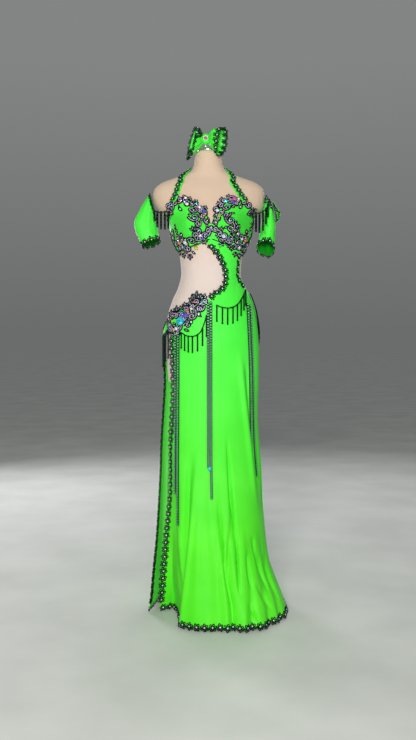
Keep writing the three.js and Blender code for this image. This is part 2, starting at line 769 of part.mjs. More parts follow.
// A three-sided bead strand through its points, with a flat side towards the body.
function strand(points, outward, radius) {
  const turns = [0, 120, 240].map(THREE.MathUtils.degToRad);
  const rings = points.map((p, k) => {
    const before = points[Math.max(k - 1, 0)];
    const after = points[Math.min(k + 1, points.length - 1)];
    const down = after.clone().sub(before).normalize();
    const out = outward[k].clone().addScaledVector(down, -outward[k].dot(down)).normalize();
    const side = down.clone().cross(out);
    return turns.map((turn) => {
      const arm = out.clone().multiplyScalar(Math.cos(turn)).addScaledVector(side, Math.sin(turn));
      return p.clone().addScaledVector(arm, radius);
    });
  });
  const faces = [[0, 2, 1]];
  const last = (points.length - 1) * 3;
  for (let k = 0; k < points.length - 1; k++) {
    for (let i = 0; i < 3; i++) {
      const [a, b] = [k * 3 + i, k * 3 + ((i + 1) % 3)];
      faces.push([a, b, b + 3], [a, b + 3, a + 3]);
    }
  }
  faces.push([last, last + 1, last + 2]);
  return meshOf(rings.flat(), faces);
}

// The narrow backing of a fringe, upright along its points.
function backing(points, outward) {
  const lower = vec(0, 0, -BACKING_HEIGHT / 2);
  const upper = vec(0, 0, BACKING_HEIGHT / 2);
  const rows = (out) =>
    points.map((p, k) => {
      const face = p.clone().addScaledVector(outward[k], (out * BACKING) / 2);
      return [face.clone().add(lower), face.clone().add(upper)];
    });
  return skin({ across: points.length - 1, along: 1, ring: false, turned: false, inner: rows(-1), outer: rows(1) });
}
const BEND_LIFT = 0.5; // where a fringe turns with the hip
const BACKING = 2;
const BACKING_HEIGHT = 5;
const BEAD = 1.8; // radius of a fringe strand
const CRYSTAL = 2.4; // radius of a long strand

// Middle of a strand that lies over the skirt, and the way out from the body there.
const STRAND_LIFT = OVER + CLOTH + LIFT + BACKING / 2 + 0.1;
function overSkirt(angle, height, lift = STRAND_LIFT) {
  const p = raised(onSkirt, angle, height, lift);
  return { p, out: p.clone().sub(onSkirt(angle, height)).normalize() };
}

// The angle at which the front of the skirt has a given x.
function angleOf(x, height) {
  const [left, right, , , power] = fit(SKIRT, height);
  const share = (Math.abs(x) / (x > 0 ? left : right)) ** (power / 2);
  return Math.sign(x) * THREE.MathUtils.radToDeg(Math.asin(Math.min(1, share)));
}

// A fringe along an edge of a body piece: strands at equal shares, length from a table.
function fringe(name, edge, { from, to, count, lengths, lift = STRAND_LIFT }) {
  const rise = BACKING_HEIGHT / 2 + 1;
  const spots = Array.from({ length: count * 2 - 1 }, (_, k) => {
    const share = from + ((to - from) * k) / (count * 2 - 2);
    const [angle, height] = fit(edge, share);
    return { share, angle, height: height + rise };
  });
  const line = spots.map(({ angle, height }) => overSkirt(angle, height, lift));
  let solid = solidOf(backing(line.map(({ p }) => p), line.map(({ out }) => out)));
  spots.forEach(({ share, angle, height }, k) => {
    if (k % 2) return;
    const [length] = fit(lengths, share);
    const x = onSkirt(angle, height).x;
    const drop = [0, 0.5, 1].map((part) => {
      const level = height - length * part;
      const plumb = Math.abs(angle) < 70 ? angleOf(x, level) : angle;
      return overSkirt(plumb, level, lift);
    });
    const hung = strand(drop.map(({ p }) => p), drop.map(({ out }) => out), BEAD);
    solid = solid.add(solidOf(hung));
  });
  add(name, geometryOf(solid), TRIM);
}
fringe("fringe_waist", WAIST_FOOT, { from: 0.1, to: 0.9, count: 8, lengths: [[0, 54], [1, 54]], lift: STRAND_LIFT + BEND_LIFT });
fringe("fringe_hip_right", HIP_RIGHT_FOOT, { from: 0.59, to: 0.955, count: 7, lengths: [[0.5, 52], [0.85, 56], [1, 80]] });
fringe("fringe_slit", HIP_RIGHT_FOOT, { from: 0.06, to: 0.3, count: 5, lengths: [[0, 110], [0.3, 90], [0.5, 70]] });
fringe("fringe_hip_left", HIP_LEFT_FOOT, { from: 0.02, to: 0.98, count: 11, lengths: [[0, 90], [0.3, 64], [1, 52]], lift: STRAND_LIFT + BEND_LIFT });

// Long crystal strands: each row is a height and the x of the strand there.
const STRANDS = {
  strand_centre: [
    [[408, 3], [508, 1], [700, 0.6], [1044, 0.2]],
    [[508, -6.5], [700, -7], [1044, -7.5]],
  ],
  strand_right: [
    [[322, -106], [500, -106], [700, -105], [946, -104]],
    [[420, -114.5], [600, -114], [700, -113.5], [946, -112.5]],
  ],
  strand_left: [
    [[579, 133], [760, 131], [860, 129], [1040, 121]],
    [[471, 152], [600, 143], [830, 138.5], [1040, 129.5]],
  ],
};
const STEP = 90; // between the points of a long strand
const CROWD = 1.5; // brings them closer together at the hip
const LOW_LIFT = 2.4; // of the strands that lie on the skirt alone
for (const [name, strands] of Object.entries(STRANDS)) {
  const top = strands[0][strands[0].length - 1][0];
  const ends = strands.map((rows) => rows[rows.length - 1][1]);
  const [low, high] = [Math.min(...ends) - CRYSTAL, Math.max(...ends) + CRYSTAL];
  const lift = name === "strand_left" ? LOW_LIFT : STRAND_LIFT;
  const bar = [low, high].map((x) => overSkirt(angleOf(x, top), top, lift));
  let solid = solidOf(backing(bar.map(({ p }) => p), bar.map(({ out }) => out)));
  for (const rows of strands) {
    const foot = rows[0][0];
    const parts = Math.round((top - foot) / STEP);
    const drop = Array.from({ length: parts + 1 }, (_, k) => {
      const level = top - (top - foot) * (k / parts) ** CROWD;
      return overSkirt(angleOf(fit(rows, level)[0], level), level, lift);
    });
    solid = solid.add(solidOf(strand(drop.map(({ p }) => p), drop.map(({ out }) => out), CRYSTAL)));
  }
  add(name, geometryOf(solid), TRIM);
}

// Garlands from the cups to the sleeves: points of the line, then x, top and foot of each strand.
const GARLAND_RIGHT = {
  line: [[-134.8, -64.3, 1346], [-144, -78, 1346], [-156, -86, 1344], [-167, -84, 1343], [-179, -72, 1347], [-189, -50, 1355], [-197, -33.2, 1373], [-205, -25.8, 1403]],
  drops: [[-148, 1346, 1314], [-157, 1344, 1304], [-166, 1343, 1300], [-175, 1345, 1308], [-184, 1350, 1312]],
};
const GARLAND_LEFT = {
  line: [[134.2, -63, 1343.6], [146, -82, 1340], [156, -86, 1340], [168, -84, 1344], [180, -70, 1354], [189, -48, 1370], [196.6, -33, 1391]],
  drops: [[149, 1340, 1308], [157, 1340, 1294], [168, 1344, 1290], [180, 1354, 1296], [189, 1370, 1334]],
};
const FORWARD = vec(0, -1, 0);
for (const [name, { line, drops }] of Object.entries({ garland_right: GARLAND_RIGHT, garland_left: GARLAND_LEFT })) {
  const rightwards = line[0][0] > line[1][0] ? [...line].reverse() : line;
  const points = rightwards.map((row) => vec(...row));
  let solid = solidOf(backing(points, points.map(() => FORWARD)));
  for (const [x, top, foot] of drops) {
    const next = points.findIndex((p) => p.x > x);
    const share = (x - points[next - 1].x) / (points[next].x - points[next - 1].x);
    const y = points[next - 1].y + (points[next].y - points[next - 1].y) * share;
    const hung = strand([vec(x, y, top), vec(x, y, foot)], [FORWARD, FORWARD], BEAD);
    solid = solid.add(solidOf(hung));
  }
  add(name, geometryOf(solid), TRIM);
}

const KNOT = vec(-16, -40, 1590);
const knot = turnedPiece([[0, -9.6], [11, -9.6], [13, -6], [13, 6], [11, 9.6], [0, 9.6]], 16, 0);
knot.rotateY(Math.PI / 2);
knot.scale(1, 1, 1.5);
knot.translate(KNOT.x, KNOT.y, KNOT.z);
add("bow_knot", knot, GREEN);
const clip = new THREE.CylinderGeometry(3, 3, 20, 16);
clip.translate(KNOT.x, -31, 1567.3);
add("bow_clip", clip, STEEL);

export default root;
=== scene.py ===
# %% [markdown]
# Belly dance costume on a dress form.
# The costume is a one-piece dress of neon green stretch lycra with flower lace, crystal
# appliques, beaded fringes, two loose sleeves and a bow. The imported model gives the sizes.
# Here every cloth piece gets a finer skin on the same surface, and the trims get their beads.

# %% Load the frame
import math

import bpy
import numpy as np
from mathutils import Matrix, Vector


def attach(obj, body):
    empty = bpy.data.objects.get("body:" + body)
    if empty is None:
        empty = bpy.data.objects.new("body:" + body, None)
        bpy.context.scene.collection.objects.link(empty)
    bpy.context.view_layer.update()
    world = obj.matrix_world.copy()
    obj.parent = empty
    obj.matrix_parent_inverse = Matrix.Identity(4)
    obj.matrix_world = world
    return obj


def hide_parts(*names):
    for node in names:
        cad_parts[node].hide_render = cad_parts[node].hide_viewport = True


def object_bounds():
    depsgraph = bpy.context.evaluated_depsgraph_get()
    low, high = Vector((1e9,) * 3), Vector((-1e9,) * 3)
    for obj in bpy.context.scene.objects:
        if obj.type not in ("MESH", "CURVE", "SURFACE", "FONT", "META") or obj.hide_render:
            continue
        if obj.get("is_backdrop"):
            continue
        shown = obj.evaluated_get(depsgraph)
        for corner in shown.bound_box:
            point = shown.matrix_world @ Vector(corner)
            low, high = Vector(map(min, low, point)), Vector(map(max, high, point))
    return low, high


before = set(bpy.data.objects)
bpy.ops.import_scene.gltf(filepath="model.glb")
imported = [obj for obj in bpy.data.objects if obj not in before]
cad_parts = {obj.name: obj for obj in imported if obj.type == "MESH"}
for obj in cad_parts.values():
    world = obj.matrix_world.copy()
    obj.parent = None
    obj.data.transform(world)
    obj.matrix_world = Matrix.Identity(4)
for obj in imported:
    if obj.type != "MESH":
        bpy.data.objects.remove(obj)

cad_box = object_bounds()
print("nodes", len(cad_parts))

# %% [markdown]
# The camera stands about three metres in front, at chest height, and looks slightly down.
# Its lens gives the frame the same field as a phone held upright at that distance.

# %% Camera
MM = 0.001
scene = bpy.context.scene


def new_object(name, data):
    obj = bpy.data.objects.new(name, data)
    scene.collection.objects.link(obj)
    return obj


CAMERA_PLACE = (-8.5 * MM, -2900 * MM, 959 * MM)
CAMERA_PITCH = math.radians(90 - 2.7)
FOCAL_SHARE = 853 / 740  # focal length over the height of the picture
SENSOR = 36

camera_data = bpy.data.cameras.new("camera")
camera_data.sensor_fit = "VERTICAL"
camera_data.sensor_height = SENSOR
camera_data.lens = SENSOR * FOCAL_SHARE
camera = new_object("camera", camera_data)
camera.location = CAMERA_PLACE
camera.rotation_euler = (CAMERA_PITCH, 0, 0)
scene.camera = camera

# %% [markdown]
# A node helper keeps every material short: it adds one node, sets its inputs and links it.
# Colours are written as sRGB hex values and turned to linear in one place.

# %% Helpers for nodes and colours
def linear(hex_value):
    channels = [int(hex_value[i:i + 2], 16) / 255 for i in (1, 3, 5)]
    lin = [c / 12.92 if c <= 0.04045 else ((c + 0.055) / 1.055) ** 2.4 for c in channels]
    return (*lin, 1.0)


def add_node(tree, kind, inputs=None, **settings):
    node = tree.nodes.new(kind)
    for key, value in settings.items():
        setattr(node, key, value)
    for key, value in (inputs or {}).items():
        if isinstance(value, bpy.types.NodeSocket):
            tree.links.new(value, node.inputs[key])
        else:
            node.inputs[key].default_value = value
    return node


def math_node(tree, operation, first, second):
    return add_node(tree, "ShaderNodeMath", {0: first, 1: second}, operation=operation).outputs[0]


def new_material(name, **shader):
    material = bpy.data.materials.new(name)
    material.use_nodes = True
    tree = material.node_tree
    principled = tree.nodes["Principled BSDF"]
    for key, value in shader.items():
        principled.inputs[key.replace("_", " ")].default_value = value
    return material, tree, principled


def two_tone(tree, fac, dark, light, low=0.35, high=0.65):
    ramp = add_node(tree, "ShaderNodeValToRGB", {"Fac": fac})
    ramp.color_ramp.elements[0].position = low
    ramp.color_ramp.elements[0].color = linear(dark)
    ramp.color_ramp.elements[1].position = high
    ramp.color_ramp.elements[1].color = linear(light)
    return ramp.outputs["Color"]


def coordinates(tree, space="Object"):
    return add_node(tree, "ShaderNodeTexCoord").outputs[space]


# %% [markdown]
# The dress is stretch lycra: a fine warp knit with a satin face. The eye sees a very even,
# vivid green, a soft broad highlight, and thin ribs of the knit only when close.
# The ribs are about 0.4 mm apart in the real cloth and are drawn 1.2 mm apart so that they show.

# %% Cloth materials
RIB = 1.2 * MM
KNIT_RELIEF = 0.2 * MM
# Painted shade and warm light: between these heights the green is painted darker and yellower towards the
# hem.
HEM_SHADE_FULL, HEM_SHADE_GONE = 0.25, 1.0  # heights between which the green turns cooler


def knit_bump(tree, principled, strength, pitch=RIB):
    waves = {"Vector": coordinates(tree, "UV"), "Scale": 0.5 / pitch / math.pi, "Detail": 1.0}
    ribs, rows = (add_node(tree, "ShaderNodeTexWave", {**waves, "Distortion": wander}, bands_direction=axis)
                  for axis, wander in (("X", 0.6), ("Y", 0.4)))
    knit = math_node(tree, "MULTIPLY", ribs.outputs["Fac"], rows.outputs["Fac"])
    bump = add_node(tree, "ShaderNodeBump", {"Height": knit, "Strength": strength, "Distance": KNIT_RELIEF})
    tree.links.new(bump.outputs["Normal"], principled.inputs["Normal"])


def share_of_height(tree, place, low, high):
    parts = add_node(tree, "ShaderNodeSeparateXYZ", {"Vector": place})
    share = add_node(tree, "ShaderNodeMapRange",
                     {"Value": parts.outputs["Z"], "From Min": low, "From Max": high})
    return share.outputs[0]


def lycra(name, hem_shaded_tones, high_tones, roughness, **more):
    """The tones are dark and light; near the hem the green is painted darker and yellower than at the hip,
    painted shade and warm light.
    """
    material, tree, principled = new_material(
        name, Roughness=roughness, IOR=1.5, Sheen_Weight=0.03, Sheen_Roughness=0.4,
        Specular_IOR_Level=0.12, **more)
    place = coordinates(tree)
    cloud = add_node(tree, "ShaderNodeTexNoise", {"Vector": place, "Scale": 7.0, "Detail": 2.0})
    low, high = (two_tone(tree, cloud.outputs["Fac"], *tones, 0.3, 0.7) for tones in (hem_shaded_tones, high_tones))
    # Painted shade: lower down the mix turns to the darker, yellower hem tones.
    share = share_of_height(tree, place, HEM_SHADE_FULL, HEM_SHADE_GONE)
    tone = add_node(tree, "ShaderNodeMix", {0: share, 6: low, 7: high}, data_type="RGBA")
    tree.links.new(tone.outputs[2], principled.inputs["Base Color"])
    knit_bump(tree, principled, 0.12)
    return material


LYCRA = lycra("stretch_lycra_satin", ("#4CDC24", "#58E62C"), ("#42E23C", "#4EEC4C"), 0.45)
# Painted light: the inside face is painted a brighter green than the outer face, standing in for light
# through the thin cloth; its subsurface scatter is real.
LYCRA_PAINTED_LIGHT_INSIDE = lycra("stretch_lycra_inside_painted_light", ("#4CFC44", "#58FF50"), ("#48F84C", "#54FF58"), 0.6,
                     Subsurface_Weight=1.0, Subsurface_Scale=0.02, Subsurface_Radius=(0.35, 1.0, 0.3))
# Painted shade: the inner faces of the sleeves are painted dark green, the shade inside the tubes.
SLEEVE_PAINTED_SHADE_LYCRA = lycra("sleeve_inside_painted_shade", ("#067A0C", "#088610"), ("#067A0C", "#088610"), 0.7)

# %% [markdown]
# The form is a padded torso under a beige jersey cover. The cover is matt, paler at the waist,
# with a knit finer than the eye can part from three metres away.

# %% Form materials
WAIST_TONE, BUST_TONE = 1.16, 1.34  # heights between which the cover turns warmer
JERSEY_RIB = 1.0 * MM
SPECK_SHARE = 0.12

JERSEY, tree, principled = new_material(
    "jersey_form_cover", Roughness=0.85, Sheen_Weight=0.2, Sheen_Roughness=0.5)
place = coordinates(tree)
tone = two_tone(tree, share_of_height(tree, place, WAIST_TONE, BUST_TONE), "#D4C6C1", "#CEB7A2", 0.0, 1.0)
speck = add_node(tree, "ShaderNodeTexNoise", {"Vector": place, "Scale": 900.0, "Detail": 2.0})
specks = two_tone(tree, speck.outputs["Fac"], "#B59E86", "#F2E7DA")
mixed = add_node(tree, "ShaderNodeMix", {0: SPECK_SHARE, 6: tone, 7: specks}, data_type="RGBA",
                 blend_type="MULTIPLY")
tree.links.new(mixed.outputs[2], principled.inputs["Base Color"])
knit_bump(tree, principled, 0.25, JERSEY_RIB)


def speckled(name, tones, scale, detail=2.0, relief=0.0, **shader):
    """A material whose colour wanders between two tones with a fine noise."""
    material, tree, principled = new_material(name, **shader)
    speck = add_node(tree, "ShaderNodeTexNoise",
                     {"Vector": coordinates(tree), "Scale": scale, "Detail": detail})
    tree.links.new(two_tone(tree, speck.outputs["Fac"], *tones), principled.inputs["Base Color"])
    if relief:
        bump = add_node(tree, "ShaderNodeBump",
                        {"Height": speck.outputs["Fac"], "Strength": 0.5, "Distance": relief})
        tree.links.new(bump.outputs["Normal"], principled.inputs["Normal"])
    return material


CHROME = speckled("chromed_steel", ("#C4C4C6", "#E2E2E4"), 300.0, 3.0, Metallic=1.0, Roughness=0.28)

# %% [markdown]
# Guipure lace is thick embroidery thread with no net behind it. It is matt, almost black,
# with a green cast. Tube beads are short lengths of dark glass, with little shine.
# The rhinestones are foiled glass with a rainbow coat: each one throws back another tint.

# %% Trim materials
GUIPURE = speckled("guipure_lace_thread", ("#03140C", "#0E3423"), 1400.0, relief=0.3 * MM,
                   Roughness=0.7, Specular_IOR_Level=0.15)
SETTING = speckled("enamelled_chain_setting", ("#023818", "#054824"), 120.0, Roughness=0.6,
                   Specular_IOR_Level=0.1)
PIPING = speckled("black_soutache_cord", ("#010403", "#0A1A13"), 1800.0, 1.0, Roughness=0.7,
                  Specular_IOR_Level=0.08)

BUGLE, tree, principled = new_material("bugle_bead_glass", Roughness=0.45, IOR=1.5, Specular_IOR_Level=0.08)
tint = add_node(tree, "ShaderNodeTexVoronoi", {"Vector": coordinates(tree), "Scale": 160.0})
tone = two_tone(tree, tint.outputs["Color"], "#020D08", "#08291D", 0.2, 0.8)
tree.links.new(tone, principled.inputs["Base Color"])

STONE_CELL = 230.0  # cells a metre, so that each stone falls in its own cell


def crystal(name, tints, roughness=0.05, metallic=0.6, coat=0.5):
    material, tree, principled = new_material(name, Roughness=roughness, Metallic=metallic, Coat_Weight=coat)
    cells = add_node(tree, "ShaderNodeTexVoronoi", {"Vector": coordinates(tree), "Scale": STONE_CELL})
    pick = add_node(tree, "ShaderNodeSeparateColor", {"Color": cells.outputs["Color"]})
    ramp = add_node(tree, "ShaderNodeValToRGB", {"Fac": pick.outputs[0]})
    ramp.color_ramp.interpolation = "CONSTANT"
    for k, tint in enumerate(tints.split()):
        if k > 1:
            ramp.color_ramp.elements.new(k / len(tints.split()))
        ramp.color_ramp.elements[k].position = k / len(tints.split())
        ramp.color_ramp.elements[k].color = linear(tint)
    tree.links.new(ramp.outputs["Color"], principled.inputs["Base Color"])
    return material


CRYSTAL = crystal("rainbow_rhinestone", "#E8ECF8 #F0B4DC #BCE4F8 #E8E0D0 #B8A0F0 #F8C8A0 #DCE4F4 #A0E8DC",
                  0.35, 0.1, 0.2)
CHAIN_STONE = crystal("clear_rhinestone", "#C8FFE8 #B0F0D4 #DCFFF0 #BCF4DC", 0.5, 0.0, 0.0)
AQUA = crystal("aqua_crystal", "#25D9F2 #5FEBFF #18BFD8")
VIOLET = crystal("violet_crystal", "#6A4BFF #8C6BFF #4F6BFF")
AMBER = crystal("amber_crystal", "#FF8A3C #FFA65A #FF6B4A")
LIME = crystal("lime_crystal", "#D9F03A #E9FF5A #C6E020")
ROSE = crystal("rose_crystal", "#FF5FA8 #FF86C0 #F0508A")
SEQUIN = crystal("hologram_sequin_ground", "#A89CC8 #BC90CC #6CA8AC #CCA0A8 #5C6888 #A4B8D4", 0.6, 0.0, 0.0)
DARK_SEQUIN = crystal("dark_sequin_ground", "#0A4434 #0E3440 #201830 #063024 #30486C #0C4838", 0.5, 0.0, 0.0)

# %% [markdown]
# The body and the skirt are stacks of ovals. Each table row gives one oval, and a curve that
# never overshoots joins the rows, so the cloth stays as smooth as its few sizes.
# All tables are in millimetres, with Z up, the front at -Y and the wearer's right at -X.

# %% Tables of the form and the skirt
# height, centre, half width, front, back, power of the oval, bust
FORM = [
    [785, 2, 145, 92, 100, 2.2, 0], [863, 2, 151, 98, 116, 2.2, 0], [941, 2, 154, 101, 117, 2.2, 0],
    [1009, 2, 146, 100, 104, 2.15, 0], [1060, 2, 130, 95, 88, 2.1, 0], [1105, 2, 110, 87, 76, 2.1, 0],
    [1148, 2, 101, 82, 71, 2.1, 0], [1200, 2, 105, 85, 76, 2.1, 0], [1245, 2, 120, 90, 82, 2.1, 4],
    [1275, 2, 129, 93, 86, 2.1, 26], [1309, 1, 137, 95, 90, 2.1, 38], [1338, -1, 143, 93, 93, 2.1, 25],
    [1350, -2, 162, 91, 93, 2.05, 18], [1364, -3, 177, 88, 93, 2, 12], [1385, -5, 185, 82, 92, 2, 5],
    [1410, -6, 188, 74, 88, 2, 1], [1430, -6, 183, 66, 82, 2, 0], [1446, -6, 168, 58, 74, 2, 0],
    [1458, -6, 145, 52, 68, 2, 0], [1468, -6, 115, 48, 62, 2, 0], [1479, -7, 85, 46, 58, 2, 0],
    [1492, -7, 60, 45, 56, 2, 0], [1511, -7, 49, 46, 54, 2, 0], [1535, -7, 46, 45, 50, 2, 0],
    [1550, -7, 44, 43, 46, 2, 0], [1556, -7, 38, 37, 40, 2, 0],
]
# height, left half width, right half width, front, back, power
SKIRT = [
    [0, 262, 215, 245, 215, 2.5], [58, 244, 204, 231, 206, 2.45], [115, 222, 199, 216, 197, 2.4],
    [175, 201, 193, 202, 188, 2.35], [230, 193, 187, 190, 178, 2.3], [310, 184, 181, 172, 165, 2.3],
    [390, 178, 176, 156, 154, 2.25], [490, 174, 171, 138, 143, 2.2], [585, 166, 168, 126, 134, 2.2],
    [670, 161, 163, 117, 128, 2.2], [785, 164, 157, 109, 124, 2.2], [863, 165, 158, 106, 123, 2.2],
    [941, 162, 158, 105, 121, 2.2], [1009, 153, 149, 104, 109.5, 2.15], [1060, 138, 133, 98.5, 91.5, 2.1],
    [1110, 114, 112, 90, 79, 2.1], [1130, 110, 108, 88, 77, 2.1],
]
BUST_X = 68
BUST_SPREAD = 38
BUST_FACING = 2.2  # how soon the bust fades towards the sides


# %% Smooth curves through a table
def fit(rows, keys):
    table = np.array(rows, float)
    knots, values = table[:, 0], table[:, 1:]
    keys = np.clip(np.asarray(keys, float), knots[0], knots[-1])
    i = np.clip(np.searchsorted(knots, keys, side="right") - 1, 0, len(knots) - 2)
    steps = np.diff(knots)
    rises = np.diff(values, axis=0) / steps[:, None]
    slopes = np.empty_like(values)
    slopes[0], slopes[-1] = rises[0], rises[-1]
    before, after = rises[:-1], rises[1:]
    same = before * after > 0
    slopes[1:-1] = np.where(same, 2 * before * after / np.where(same, before + after, 1), 0)
    u = ((keys - knots[i]) / steps[i])[..., None]
    step = steps[i][..., None]
    return ((2 * u ** 3 - 3 * u ** 2 + 1) * values[i] + (u ** 3 - 2 * u ** 2 + u) * step * slopes[i]
            + (3 * u ** 2 - 2 * u ** 3) * values[i + 1] + (u ** 3 - u ** 2) * step * slopes[i + 1])


def oval(angle, left, right, front, back, power):
    s, c = np.sin(np.radians(angle)), np.cos(np.radians(angle))
    x = np.sign(s) * np.abs(s) ** (2 / power) * np.where(s > 0, left, right)
    y = -np.sign(c) * np.abs(c) ** (2 / power) * np.where(c > 0, front, back)
    return x, y


def on_form(angle, height):
    angle, height = np.broadcast_arrays(np.asarray(angle, float), np.asarray(height, float))
    centre, half, front, back, power, bust = np.moveaxis(fit(FORM, height), -1, 0)
    x, y = oval(angle, half, half, front, back, power)
    facing = np.clip(np.cos(np.radians(angle)) * BUST_FACING, 0, 1)
    lobe = bust * np.exp(-(((np.abs(x) - BUST_X) / BUST_SPREAD) ** 2)) * facing
    return np.stack([x + centre, y - lobe, height], -1)


def on_skirt(angle, height):
    angle, height = np.broadcast_arrays(np.asarray(angle, float), np.asarray(height, float))
    x, y = oval(angle, *np.moveaxis(fit(SKIRT, height), -1, 0))
    return np.stack([x, y, height], -1)


def unit(vectors):
    return vectors / np.maximum(np.linalg.norm(vectors, axis=-1, keepdims=True), 1e-9)


def out_of(surface, angle, height):
    across = surface(angle + 0.5, height) - surface(angle - 0.5, height)
    up = surface(angle, height + 2.0) - surface(angle, height - 2.0)
    return unit(np.cross(across, up))


def raised(surface, angle, height, lift):
    return surface(angle, height) + out_of(surface, angle, height) * np.asarray(lift)[..., None]


def smoothstep(low, high, value):
    t = np.clip((value - low) / (high - low), 0, 1)
    return t * t * (3 - 2 * t)


# %% [markdown]
# A cloth piece is a grid of points on its surface, a row of points for each thread line.
# The grid gives the outer face; the inner face is the same grid moved in by the cloth's
# thickness, and the rims are closed, so that the piece is one thin closed skin.
# The grid's lengths in metres are kept as a UV map, and the knit follows them.

# %% Cloth pieces
WALL = 1.6  # the solid's wall, whose outer face this cloth follows
THIN = 1.0  # the cloth drawn here


class Cloth:
    def __init__(self, across, along, place, ring=False, turned=False, wall=WALL):
        u, v = np.meshgrid(np.linspace(0, 1, across + 1), np.linspace(0, 1, along + 1), indexing="ij")
        inner = place(u, v)
        self.ring, self.turned = ring, turned
        self.normals = self.find_normals(inner)
        self.points = inner + self.normals * wall
        self.normals = self.find_normals(self.points)

    def find_normals(self, grid):
        side = np.gradient(grid, axis=0)
        if self.ring:
            side[0] = side[-1] = (grid[1] - grid[-2]) / 2
        return unit(np.cross(side, np.gradient(grid, axis=1))) * (-1 if self.turned else 1)

    def sample(self, u, v):
        across, along = self.points.shape[0] - 1, self.points.shape[1] - 1
        i, j = u * across, v * along
        if self.ring:
            i = np.mod(i, across)
        a = np.clip(np.floor(i).astype(int), 0, across - 1)
        b = np.clip(np.floor(j).astype(int), 0, along - 1)
        s, t = (np.clip(i - a, 0, 1))[..., None], (np.clip(j - b, 0, 1))[..., None]
        mixed = [(1 - s) * (1 - t) * g[a, b] + s * (1 - t) * g[a + 1, b] + (1 - s) * t * g[a, b + 1]
                 + s * t * g[a + 1, b + 1] for g in (self.points, self.normals)]
        return mixed[0], unit(mixed[1])

    def flat_size(self):
        sides = np.linalg.norm(np.diff(self.points, axis=0), axis=-1)
        ups = np.linalg.norm(np.diff(self.points, axis=1), axis=-1)
        a, b = np.diff(self.points, axis=0)[:, :-1], np.diff(self.points, axis=1)[:-1]
        area = np.linalg.norm(np.cross(a, b), axis=-1).sum()
        return sides.sum(0).max() * MM, ups.sum(1).max() * MM, area * MM * MM


def finished(mesh, materials, smooth_angle=50):
    for material in materials:
        mesh.materials.append(material)
    mesh.shade_smooth()
    mesh.set_sharp_from_angle(angle=math.radians(smooth_angle))
    return mesh


def put_in_place(name, mesh, nodes):
    obj = new_object(name, mesh)
    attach(obj, "root")
    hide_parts(*nodes)
    return obj


def cloth_object(name, piece, nodes, materials, thin=THIN):
    columns, rows = piece.points.shape[:2]
    count = columns - (1 if piece.ring else 0)
    outer = piece.points[:count].reshape(-1, 3)
    inner = (piece.points - piece.normals * thin)[:count].reshape(-1, 3)
    i, j = (part.ravel() for part in np.meshgrid(np.arange(columns - 1), np.arange(rows - 1), indexing="ij"))
    k, low, top = np.arange(columns - 1), np.zeros(columns - 1, int), np.full(columns - 1, rows - 1)
    square = [(i, j), (i + 1, j), (i + 1, j + 1), (i, j + 1)]
    # four corners of each quad, and whether each corner lies on the outer or the inner skin
    groups = [
        (square, (0, 0, 0, 0)),
        ([square[0], square[3], square[2], square[1]], (1, 1, 1, 1)),
        ([(k, low), (k + 1, low), (k + 1, low), (k, low)], (1, 1, 0, 0)),
        ([(k, top), (k + 1, top), (k + 1, top), (k, top)], (0, 0, 1, 1)),
    ]
    if not piece.ring:
        m, first, last = np.arange(rows - 1), np.zeros(rows - 1, int), np.full(rows - 1, columns - 1)
        groups.append(([(first, m), (first, m), (first, m + 1), (first, m + 1)], (1, 0, 0, 1)))
        groups.append(([(last, m), (last, m), (last, m + 1), (last, m + 1)], (0, 1, 1, 0)))
    faces, corners, inside = [], [], []
    for number, (quads, skins) in enumerate(groups):
        ids = np.stack([skin * count * rows + np.mod(a, count) * rows + b
                        for (a, b), skin in zip(quads, skins)], -1)
        grid = np.stack([a * rows + b for a, b in quads], -1)
        if piece.turned:
            ids, grid = ids[:, ::-1], grid[:, ::-1]
        faces.append(ids)
        corners.append(grid)
        inside.append(np.full(len(ids), int(number == 1)))
    faces, corners = np.concatenate(faces), np.concatenate(corners)
    mesh = bpy.data.meshes.new(name)
    mesh.from_pydata((np.concatenate([outer, inner]) * MM).tolist(), [], faces.tolist())
    mesh.polygons.foreach_set("material_index", np.concatenate(inside).astype(np.int32))
    sides, ups = (np.linalg.norm(np.diff(piece.points, axis=axis), axis=-1) for axis in (0, 1))
    widths = np.concatenate([np.zeros((1, rows)), sides.cumsum(0)])
    heights = np.concatenate([np.zeros((columns, 1)), ups.cumsum(1)], 1)
    flat = np.stack([widths.ravel(), heights.ravel()], -1) * MM
    layer = mesh.uv_layers.new(name="Cloth")
    layer.data.foreach_set("uv", flat[corners.ravel()].ravel().astype(np.float32))
    obj = put_in_place(name, finished(mesh, materials), nodes)
    width, length, area = piece.flat_size()
    print(name, len(mesh.polygons), "faces, flat", round(width, 3), round(length, 3), round(area, 4))
    return obj


def body_piece(across, along, foot, head, surface, relief, start=None, end=None):
    """A piece between its foot and head edges, and between side edges that are straight if not given."""
    def place(u, v):
        low, high = fit(foot, u), fit(head, u)
        (foot_left, foot_right), (head_left, head_right) = fit(foot, [0, 1]), fit(head, [0, 1])
        plain_left = foot_left + (head_left - foot_left) * v[..., None]
        plain_right = foot_right + (head_right - foot_right) * v[..., None]
        left = fit(start, v) if start else plain_left
        right = fit(end, v) if end else plain_right
        corners = plain_left + (plain_right - plain_left) * u[..., None]
        spot = low + (high - low) * v[..., None] + (left + (right - left) * u[..., None]) - corners
        points = surface(spot[..., 0], spot[..., 1])
        return points + relief(u, v)[..., None] * out_of(surface, spot[..., 0], spot[..., 1])
    return Cloth(across, along, place)


# %% [markdown]
# The dress form is one smooth padded torso. It is a grid like the cloth, closed at the neck
# and at the foot, and it carries everything else.

# %% Dress form
FORM_AROUND, FORM_ROWS = 120, 150
KNIT_RADIUS = 130  # radius at which the knit of the cover has its true width


def form_grid(u, v):
    return on_form(u * 360, FORM[0][0] + (FORM[-1][0] - FORM[0][0]) * v)


form_piece = Cloth(FORM_AROUND, FORM_ROWS, form_grid, ring=True, wall=0)


